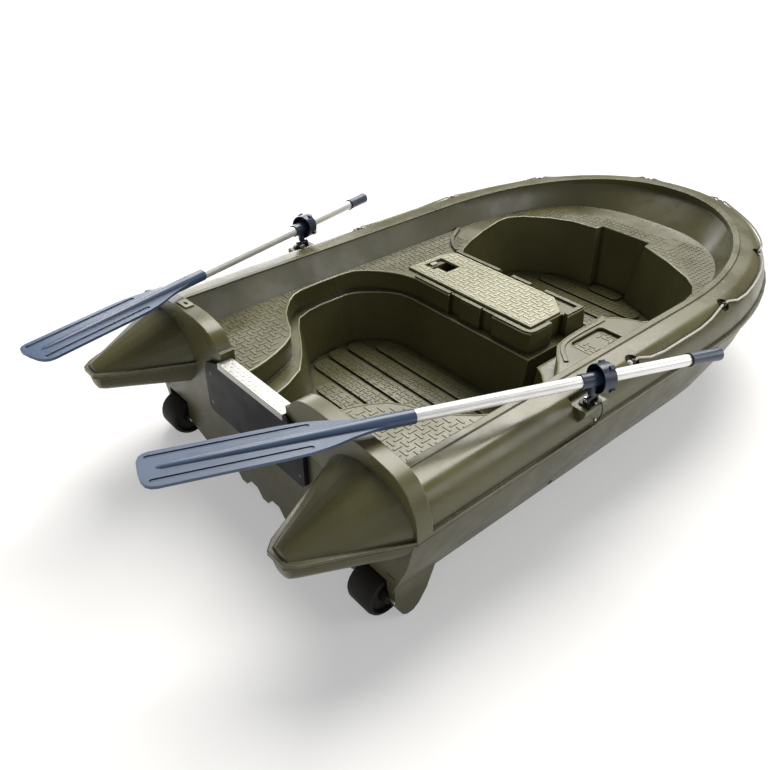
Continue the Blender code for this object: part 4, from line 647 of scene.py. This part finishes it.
@dataclass
class TreadPatch:
    """Raised bars in a basket weave over one flat, left out wherever they would overhang an edge.

    Corners are across and forward of the transom. A skip function says where no bar stands.
    """

    name: str
    low: Point
    high: Point
    level: float
    body: str = "boat"
    on: str = "deck_moulding"
    pitch: float = 0.0270
    length: float = 0.0305
    width: float = 0.0088
    height: float = 0.0018
    sunk: float = 0.0006
    slope: float = 1.1
    rounding: float = 0.07
    margin: float = 0.002
    flatness: float = 0.0004
    probe_from: float = 0.02
    probe_length: float = 0.05
    skip: Callable[[float, float], bool] | None = None
    slot: str = "olive_polyethylene"
    finish: MouldedPlastic = OLIVE_TREAD
    placed: int = field(default=0, init=False)

    def bar(self) -> bpy.types.Mesh:
        """One bar with sloping sides, its foot a little under the flat.

        Returns:
            The bar's mesh, centred on the origin.
        """
        form = bmesh.new()
        bmesh.ops.create_cube(form, size=1.0)
        size = (self.length, self.width, self.height + self.sunk)
        bmesh.ops.scale(form, vec=size, verts=form.verts)
        bmesh.ops.translate(form, vec=(0, 0, (self.height - self.sunk) / 2), verts=form.verts)
        top = [v for v in form.verts if v.co.z > self.height / 2]
        slope = self.height * self.slope
        bmesh.ops.scale(form, vec=(1 - slope / self.length, 1 - slope / self.width, 1.0), verts=top)
        rim = [e for e in form.edges if e.verts[0] in top and e.verts[1] in top]
        bmesh.ops.bevel(form, geom=rim, offset=self.width * self.rounding, segments=1,
                        profile=0.5, affect="EDGES", material=-1)
        mesh = bpy.data.meshes.new(self.name + "_bar")
        form.to_mesh(mesh)
        form.free()
        return mesh

    def rests(self, tree: BVHTree, place: Matrix) -> bool:
        """Whether the whole bar would stand on the flat.

        Args:
            tree: the CAD surface under it.
            place: where the bar would stand.

        Returns:
            True where its middle, sides and corners all meet the flat.
        """
        reach, half = self.length / 2 + self.margin, self.width / 2 + self.margin
        for x in (0, -reach, reach):
            for y in (0, -half, half):
                spot = place @ Vector((x, y, self.probe_from))
                hit = tree.ray_cast(spot, Vector((0, 0, -1)), self.probe_length)[0]
                if hit is None or abs(hit.z - self.level) > self.flatness:
                    return False
        return True

    def build(self, tree: BVHTree) -> None:
        """Fills the patch and adds it as one piece.

        Args:
            tree: the CAD surface that it lies on.
        """
        template, form = self.bar(), bmesh.new()
        columns = int((self.high[0] - self.low[0]) / self.pitch) + 1
        rows = int((self.high[1] - self.low[1]) / self.pitch) + 1
        for row in range(rows):
            for column in range(columns):
                x = self.low[0] + (column + 0.5) * self.pitch
                y = self.low[1] + (row + 0.5) * self.pitch + STERN_Y
                if self.skip and self.skip(x, y - STERN_Y):
                    continue
                turn = math.radians(90 if (row + column) % 2 else 0)
                place = Matrix.Translation((x, y, self.level)) @ Matrix.Rotation(turn, 4, "Z")
                if self.rests(tree, place):
                    stamp(form, template, place)
                    self.placed += 1
        bpy.data.meshes.remove(template)
        LOG.info("%s: %d bars", self.name, self.placed)
        add_piece(self.name, form, self.body, self.finish, smooth=False)


@dataclass
class Treads:
    """The patterned flats of the deck moulding and the bench lid."""

    ledge: float = 0.395
    aft_floor: float = 0.120
    bow_floor: float = 0.150
    lid_top: float = 0.4043
    tray: float = 0.385
    bow_centre: float = 1.42
    bow_start: float = 1.60
    bow_reach: float = 0.535
    studs_from: Point = (0.20, 1.52)
    studs_side: float = 0.16
    studs_reach: float = 0.47

    def off_weave(self, x: float, y: float) -> bool:
        """Whether a spot lies outside the bow ledge's weave.

        Args:
            x: how far across.
            y: how far forward of the transom.

        Returns:
            True outside it.
        """
        out = math.hypot(x, y - self.bow_centre)
        studded = x > self.studs_side and out > self.studs_reach
        return y < self.bow_start or out > self.bow_reach or studded

    def off_studs(self, x: float, y: float) -> bool:
        """Whether a spot lies outside the studs that border the weave to starboard.

        Args:
            x: how far across.
            y: how far forward of the transom.

        Returns:
            True outside them.
        """
        return x < self.studs_from[0] or y < self.studs_from[1] or not self.off_weave(x, y)

    def patches(self) -> list[TreadPatch]:
        """The patterned flats, each with its two corners.

        Returns:
            The patches in the order in which they are laid.
        """
        # The lid's bars carry a painted highlight: a pale olive.
        lid = {"body": "bench_lid", "on": "bench_lid", "pitch": 0.0260, "margin": 0.0010,
               "finish": LID_TREAD_HIGHLIGHT}
        small = {"pitch": 0.0230, "length": 0.0260, "width": 0.0078, "height": 0.0016}
        dots = {"pitch": 0.0190, "length": 0.0100, "width": 0.0100}
        fine = {"pitch": 0.0210, "length": 0.0235, "width": 0.0070, "margin": 0.0012,
                "finish": FLOOR_TREAD}
        rows = (
            ("lid_tread", (-0.362, 0.943), (0.246, 1.172), self.lid_top, lid),
            ("quarter_tread_s", (0.165, 0.062), (0.500, 0.480), self.ledge, {}),
            ("quarter_tread_p", (-0.500, 0.062), (-0.165, 0.480), self.ledge, {}),
            ("ledge_tread_p", (-0.500, 0.800), (-0.368, 1.300), self.ledge, {}),
            ("tray_tread_aft", (0.385, 0.965), (0.500, 1.020), self.tray, small),
            ("tray_tread_fore", (0.385, 1.085), (0.500, 1.140), self.tray, small),
            ("bow_tread", (-0.480, 1.600), (0.480, 2.040), self.ledge,
             {**small, "skip": self.off_weave}),
            ("bow_studs", (0.200, 1.500), (0.500, 1.960), self.ledge,
             {**dots, "skip": self.off_studs}),
            ("aft_floor_tread", (-0.460, 0.080), (0.460, 0.880), self.aft_floor, fine),
            ("bow_floor_tread", (-0.460, 1.200), (0.460, 1.860), self.bow_floor, fine),
        )
        return [TreadPatch(name, low, high, level, **pattern)
                for name, low, high, level, pattern in rows]

    def build(self) -> None:
        """Lays the treads."""
        surfaces = {name: surface_of(name) for name in ("deck_moulding", "bench_lid")}
        for patch in self.patches():
            patch.build(surfaces[patch.on])


@dataclass
class RimBeads:
    """Rounded beads along the sharp rims of the ledge and the steps, where the moulding shines."""

    levels: tuple[float, ...] = (0.395, 0.315)
    radius: float = 0.0036
    sunk: float = 0.0016
    near: float = 0.0005
    shortest: float = 0.10
    flat: float = 0.98
    steep: Point = (-0.2, 0.6)
    roundness: int = 2
    same_ring: float = 0.000001

    def on_rim(self, edge: bmesh.types.BMEdge, level: float) -> bool:
        """Whether an edge is part of a rim.

        Args:
            edge: an edge of the deck moulding.
            level: the rim's height.

        Returns:
            True for a proud corner at that height between a flat and a steep face.
        """
        if len(edge.link_faces) != 2 or not edge.is_convex:
            return False
        if any(abs(v.co.z - level) > self.near for v in edge.verts):
            return False
        slopes = sorted(face.normal.z for face in edge.link_faces)
        return slopes[1] > self.flat and self.steep[0] < slopes[0] < self.steep[1]

    def chains(self, edges: list[bmesh.types.BMEdge]) -> list[list[Vector]]:
        """Joins edges end to end.

        Args:
            edges: the rim's edges in any order.

        Returns:
            Lines of points, each closed one ending where it starts.
        """
        left, lines = dict.fromkeys(edges), []
        while left:
            first = next(iter(left))
            del left[first]
            line = list(first.verts)
            for _ in ("forwards", "backwards"):
                while grown := [e for e in line[-1].link_edges if e in left]:
                    del left[grown[0]]
                    line.append(grown[0].other_vert(line[-1]))
                line.reverse()
            lines.append([v.co.copy() for v in line])
        return lines

    def rims(self) -> list[list[Vector]]:
        """Finds the rims on the deck moulding.

        Returns:
            The lines of those that are long enough to show.
        """
        form = bmesh.new()
        form.from_mesh(frame["nodes"]["deck_moulding"].data)
        bmesh.ops.remove_doubles(form, verts=form.verts, dist=SAME_POINT)
        lines = []
        for level in self.levels:
            lines += self.chains([e for e in form.edges if self.on_rim(e, level)])
        form.free()
        return [line for line in lines
                if sum((b - a).length for a, b in zip(line, line[1:])) >= self.shortest]

    def build(self) -> None:
        """Sweeps a bead along every rim."""
        curve = bpy.data.curves.new("rim_route", "CURVE")
        curve.dimensions = "3D"
        curve.bevel_depth = self.radius
        curve.bevel_resolution = self.roundness
        curve.use_fill_caps = True
        for line in self.rims():
            closed = (line[0] - line[-1]).length < self.near
            points = line[:-1] if closed else line
            spline = curve.splines.new("POLY")
            spline.points.add(len(points) - 1)
            spline.use_cyclic_u = closed
            for spot, point in zip(spline.points, points):
                spot.co = (point.x, point.y, point.z - self.sunk, 1.0)
        route = bpy.data.objects.new("rim_route", curve)
        bead = bmesh.new()
        bead.from_mesh(bpy.data.meshes.new_from_object(route))
        bpy.data.objects.remove(route)
        bmesh.ops.remove_doubles(bead, verts=bead.verts, dist=self.same_ring)
        # The beads carry a painted highlight: a paler olive along the rims.
        add_piece("rim_beads", bead, "boat", OLIVE_EDGE_HIGHLIGHT)


@dataclass
class Lifeline:
    """The rope round the bow: three strands laid up along the CAD cord's route.

    A station is metres aft of the bow's start below 0, and the share of the starboard bow's
    quarter turn from 0 to 1.
    """

    length: float = 2.33
    bow_start: float = 1.35
    power: float = 2.1
    half_beam: float = 0.690
    shoulder: Point = (0.070, 0.102)
    shoulder_z: float = 0.378
    sheer: float = 0.022
    eyes: tuple[float, ...] = (-0.425, 0.065, 0.40, 0.835)
    eye_angle: float = 66.0
    rope_angle: float = 50.0
    lift: float = 0.0058
    dip: float = -0.002
    first_end: float = -0.0058
    eye_half: float = 0.007
    eye_clear: float = 0.024
    run_points: int = 6
    bow_points: int = 2
    run_ease: float = 5.0
    bow_ease: float = 4.0
    strands: int = 3
    strand: float = 0.00235
    strand_sides: int = 6
    lay_radius: float = 0.0021
    pitch: float = 0.036
    step: float = 0.0042

    def on_tube(self, station: float, degrees: float, height: float, along: float = 0.0) -> Vector:
        """A point on the side tube's shoulder, measured from the transom.

        Args:
            station: where along the tube.
            degrees: how far up the shoulder.
            height: how far off its face.
            along: a shift along the tube.

        Returns:
            The point.
        """
        wide, high = self.shoulder
        angle = math.radians(degrees)
        off = Vector((math.cos(angle) / wide, math.sin(angle) / high)).normalized()
        inset = wide * (1 - math.cos(angle)) - height * off.x
        z = self.shoulder_z + high * math.sin(angle) + height * off.y
        half, reach = self.half_beam - inset, self.length - inset - self.bow_start
        if station <= 0:
            return Vector((half, self.bow_start + station + along, z))
        turn = math.pi / 2 * station
        forward = math.sin(turn) ** (2 / self.power)
        across = math.cos(turn) ** (2 / self.power)
        normal = Vector((across ** (self.power - 1) / half, forward ** (self.power - 1) / reach, 0))
        normal.normalize()
        point = Vector((half * across, self.bow_start + reach * forward, z))
        point.z += self.sheer * (z - self.shoulder_z) / high * forward ** 2
        return point + Vector((-normal.y, normal.x, 0)) * along

    def through_eye(self, station: float, first: bool) -> list[Vector]:
        """The cord's points through a strap eye, where it dips into the pocket.

        Args:
            station: where the eye is.
            first: whether the cord starts at this eye, at its knot.

        Returns:
            The points in order.
        """
        before = (self.first_end,) if first else (-self.eye_clear, -self.eye_half)
        points = []
        for along in (*before, self.eye_half, self.eye_clear):
            ease = (abs(along) - self.eye_half) / (self.eye_clear - self.eye_half)
            ease = min(1.0, max(0.0, ease))
            ease *= ease * (3 - 2 * ease)
            height = self.dip + (self.lift - self.dip) * ease
            points.append(self.on_tube(station, self.eye_angle, height, along))
        return points

    def between(self, station: float, ahead: float, last: bool) -> list[Vector]:
        """The cord's points from one eye towards the next, or to the middle of the bow.

        Args:
            station: where the eye is.
            ahead: the next eye's station, or the bow's.
            last: whether this is the eye before the bow.

        Returns:
            The points in order.
        """
        count = self.bow_points if last else self.run_points
        points = []
        for i in range(1, count + 1):
            share = i / count if last else i / (count + 1)
            away = share * self.bow_ease if last else min(share, 1 - share) * self.run_ease
            degrees = self.eye_angle + (self.rope_angle - self.eye_angle) * min(1.0, away)
            points.append(self.on_tube(station + (ahead - station) * share, degrees, self.lift))
        return points

    def route(self) -> list[Vector]:
        """The cord's centreline in the row frame.

        Returns:
            Its points from the starboard end to the port one.
        """
        points: list[Vector] = []
        for station, ahead in zip(self.eyes, (*self.eyes[1:], 1.0)):
            points += self.through_eye(station, first=station == self.eyes[0])
            points += self.between(station, ahead, last=station == self.eyes[-1])
        points += [Vector((-p.x, p.y, p.z)) for p in reversed(points[:-1])]
        return [p + Vector((0, STERN_Y, 0)) for p in points]

    def evenly(self, points: Sequence[Vector]) -> list[Vector]:
        """Takes even steps along a polyline.

        Args:
            points: its corners.

        Returns:
            The steps' points.
        """
        spots, left = [points[0].copy()], self.step
        for start, end in zip(points, points[1:]):
            run = (end - start).length
            while left <= run:
                spots.append(start.lerp(end, left / run))
                left += self.step
            left -= run
        return spots

    def lay_strand(self, form: bmesh.types.BMesh, line: Sequence[Vector], number: int) -> None:
        """Winds one strand round the rope's centreline.

        Args:
            form: where the strand goes.
            line: the centreline in even steps.
            number: which strand it is, from 0.
        """
        path, frames = [], []
        lean = math.tau * self.lay_radius / self.pitch
        for i, point in enumerate(line):
            ahead = line[min(i + 1, len(line) - 1)] - line[max(i - 1, 0)]
            side = ahead.cross(Vector((0, 0, 1))).normalized()
            up = side.cross(ahead).normalized()
            turn = math.tau * (i * self.step / self.pitch + number / self.strands)
            out = side * math.cos(turn) + up * math.sin(turn)
            path.append(point + out * self.lay_radius)
            ahead.normalize()
            axis = (ahead + out.cross(ahead) * -lean).normalized()
            frames.append(Matrix((out, axis.cross(out), axis)).transposed().to_4x4())
        sweep(form, path, frames, self.strand, self.strand_sides)

    def build(self) -> None:
        """Lays up the strands and hides the plain CAD cord."""
        line = self.evenly(self.route())
        form = bmesh.new()
        for number in range(self.strands):
            self.lay_strand(form, line, number)
        rope = add_piece("lifeline_rope", form, "boat", CORD)
        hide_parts("lifeline")


@dataclass
class PlateLozenges:
    """The transom plate's raised lozenges, in rows that lean to either side by turns."""

    low: Point = (-0.160, -0.0105)
    high: Point = (0.160, 0.0300)
    level: float = 0.4625
    pitch: float = 0.0160
    length: float = 0.0150
    width: float = 0.0042
    height: float = 0.0009
    lean: float = 45.0

    def lozenge(self) -> bpy.types.Mesh:
        """One lozenge, centred on the plate's face.

        Returns:
            Its mesh.
        """
        form = bmesh.new()
        bmesh.ops.create_uvsphere(form, u_segments=8, v_segments=6, radius=0.5)
        bmesh.ops.scale(form, vec=(self.length, self.width, self.height * 2), verts=form.verts)
        mesh = bpy.data.meshes.new("lozenge")
        form.to_mesh(mesh)
        form.free()
        return mesh

    def build(self) -> None:
        """Presses the lozenges out of the plate's top."""
        template, form = self.lozenge(), bmesh.new()
        columns = int((self.high[0] - self.low[0]) / self.pitch)
        rows = int((self.high[1] - self.low[1]) / self.pitch) + 1
        for row in range(rows):
            for column in range(columns):
                x = self.low[0] + (column + 0.5) * self.pitch
                y = self.low[1] + (row + 0.5) * (self.high[1] - self.low[1]) / rows + STERN_Y
                turn = math.radians(self.lean if (row + column) % 2 else -self.lean)
                place = Matrix.Translation((x, y, self.level)) @ Matrix.Rotation(turn, 4, "Z")
                stamp(form, template, place)
        bpy.data.meshes.remove(template)
        add_piece("plate_lozenges", form, "boat", PLATE)


@dataclass
class Dresser:
    """Gives each CAD node its finish, by name first and by the record's slot otherwise."""

    bearing_s: float = 18.05
    bearing_p: float = -17.6
    board_screws: int = 4

    def by_slot(self) -> dict[str, Finish]:
        """The finish of each of the record's slots.

        Returns:
            Finishes by the slot's name.
        """
        return {
            "olive_polyethylene": OLIVE, "black_plastic": BLACK, "black_rubber": RUBBER,
            "slate_blue_plastic": BLADE, "navy_plastic": NAVY, "grey_plastic": GREY,
            "aluminium": PLATE, "stainless_steel": STEEL, "pale_rope": CORD,
        }

    def by_node(self) -> dict[str, Finish]:
        """The finish of the nodes that differ from the rest of their slot.

        Returns:
            Finishes by the node's name.
        """
        return {
            # The lower hull gets a darker copy of the olive as painted shade, and the bench lid a
            # paler one as painted highlight.
            "lower_hull": OLIVE_SHADED_LOW, "bench_lid": OLIVE_LID_HIGHLIGHT, "transom_board": BOARD,
            "oar_grip_s": GRIP, "oar_grip_p": GRIP,
            "oar_shaft_s": tube_finish(Side.STARBOARD, self.bearing_s),
            "oar_shaft_p": tube_finish(Side.PORT, self.bearing_p),
            **{f"board_screw_{i + 1}": DARK_STEEL for i in range(self.board_screws)},
        }

    def build(self) -> None:
        """Dresses and softens every node."""
        by_slot, by_node = self.by_slot(), self.by_node()
        for part in frame["record"]["subparts"]:
            name, slot = part["node"], part["material_slot"]
            dress(frame["nodes"][name], by_node.get(name) or by_slot[slot])
            soften(frame["nodes"][name])
            LOG.info("%s: dressed", name)


@dataclass(frozen=True)
class Panel:
    """A square soft light: its name, its place, its side in metres and its power in watts."""

    name: str
    at: Place
    side: float
    watts: float


@dataclass
class Studio:
    """Pale floor, soft lights and the camera at the photograph's angle."""

    lens: float = 35.91
    sensor: float = 36.0
    far_end: float = 200.0
    camera_at: Place = (1.6153, STERN_Y - 0.8986, 1.7220)
    azimuth: float = 48.98
    elevation: float = 34.77
    floor_size: float = 300.0
    floor_gap: float = 0.0005
    floor_colour: Colour = (0.50, 0.50, 0.50)
    floor_shade: Colour = (0.52, 0.52, 0.52)
    floor_cloud: float = 0.8
    cloud_range: Point = (0.2, 0.8)
    floor_roughness: float = 0.9
    glow: float = 0.34
    sky: float = 0.30
    backdrop: float = 1.0
    sky_colour: Colour = (0.97, 0.98, 1.0)
    sun_power: float = 4.6
    sun_softness: float = 42.0
    sun_colour: Colour = (1.0, 0.97, 0.91)
    sun_from: Place = (-0.35, 0.55, 0.85)
    aim: Place = (0.0, 0.0, 0.3)
    panels: tuple[Panel, ...] = (
        Panel("front_panel", (3.2, -2.6, 2.2), 2.6, 8.0),
        Panel("bow_panel", (3.4, 2.2, 2.3), 2.2, 48.0),
        Panel("port_panel", (-4.2, 1.0, 1.3), 2.4, 80.0),
    )

    def floor(self) -> None:
        """A wide pale floor just under the keel."""
        form = bmesh.new()
        bmesh.ops.create_grid(form, x_segments=1, y_segments=1, size=self.floor_size / 2)
        bmesh.ops.translate(form, vec=(0, 0, -self.floor_gap), verts=form.verts)
        mesh = bpy.data.meshes.new("floor")
        form.to_mesh(mesh)
        form.free()
        s = Shader("pale_floor")
        cloud = s.noise(self.floor_cloud).ramp(*self.cloud_range)
        links = {"Base Color": s.over(cloud, self.floor_colour, self.floor_shade)}
        values = {"Roughness": self.floor_roughness, "Emission Color": (1, 1, 1, 1),
                  "Emission Strength": self.glow}
        mesh.materials.append(s.finish(links, values))
        floor = add_object("floor", mesh)

    def panel(self, panel: Panel) -> None:
        """Hangs a soft light that faces the boat.

        Args:
            panel: the light.
        """
        lamp = bpy.data.lights.new(panel.name, "AREA")
        lamp.size = panel.side
        lamp.energy = panel.watts
        thing = add_object(panel.name, lamp)
        thing.location = panel.at
        back = Vector(panel.at) - Vector(self.aim)
        thing.rotation_euler = back.to_track_quat("Z", "Y").to_euler()

    def sun(self) -> None:
        """A very soft sun from over the port bow."""
        lamp = bpy.data.lights.new("soft_sun", "SUN")
        lamp.energy = self.sun_power
        lamp.angle = math.radians(self.sun_softness)
        lamp.color = self.sun_colour
        thing = add_object("soft_sun", lamp)
        thing.rotation_euler = Vector(self.sun_from).to_track_quat("Z", "Y").to_euler()

    def air(self) -> None:
        """A dim sky that shows as a white backdrop."""
        world = bpy.data.worlds.new("studio")
        bpy.context.scene.world = world
        world.use_nodes = True
        tree = world.node_tree
        background = tree.nodes["Background"]
        background.inputs["Color"].default_value = (*self.sky_colour, 1)
        seen = tree.nodes.new("ShaderNodeLightPath").outputs["Is Camera Ray"]
        power = tree.nodes.new("ShaderNodeMapRange")
        power.inputs["To Min"].default_value = self.sky
        power.inputs["To Max"].default_value = self.backdrop
        tree.links.new(seen, power.inputs["Value"])
        tree.links.new(power.outputs[0], background.inputs["Strength"])
        bpy.context.scene.view_settings.view_transform = "Standard"

    def camera(self) -> None:
        """The camera at the photograph's angle."""
        lens = bpy.data.cameras.new("camera")
        lens.lens = self.lens
        lens.sensor_width = self.sensor
        lens.clip_end = self.far_end
        thing = add_object("camera", lens)
        thing.location = self.camera_at
        tilt, turn = math.radians(90 - self.elevation), math.radians(self.azimuth)
        thing.rotation_euler = Euler((tilt, 0, turn))
        bpy.context.scene.camera = thing

    def build(self) -> None:
        """Sets up the floor, the lights, the sky and the camera."""
        self.floor()
        self.sun()
        for panel in self.panels:
            self.panel(panel)
        self.air()
        self.camera()


def main() -> None:
    """Builds every sub-assembly in order."""
    logging.basicConfig(level=logging.INFO, format="%(message)s")
    for assembly in (Studio(), Dresser(), Treads(), RimBeads(), Lifeline(), PlateLozenges()):
        assembly.build()


if __name__ == "__main__":
    main()
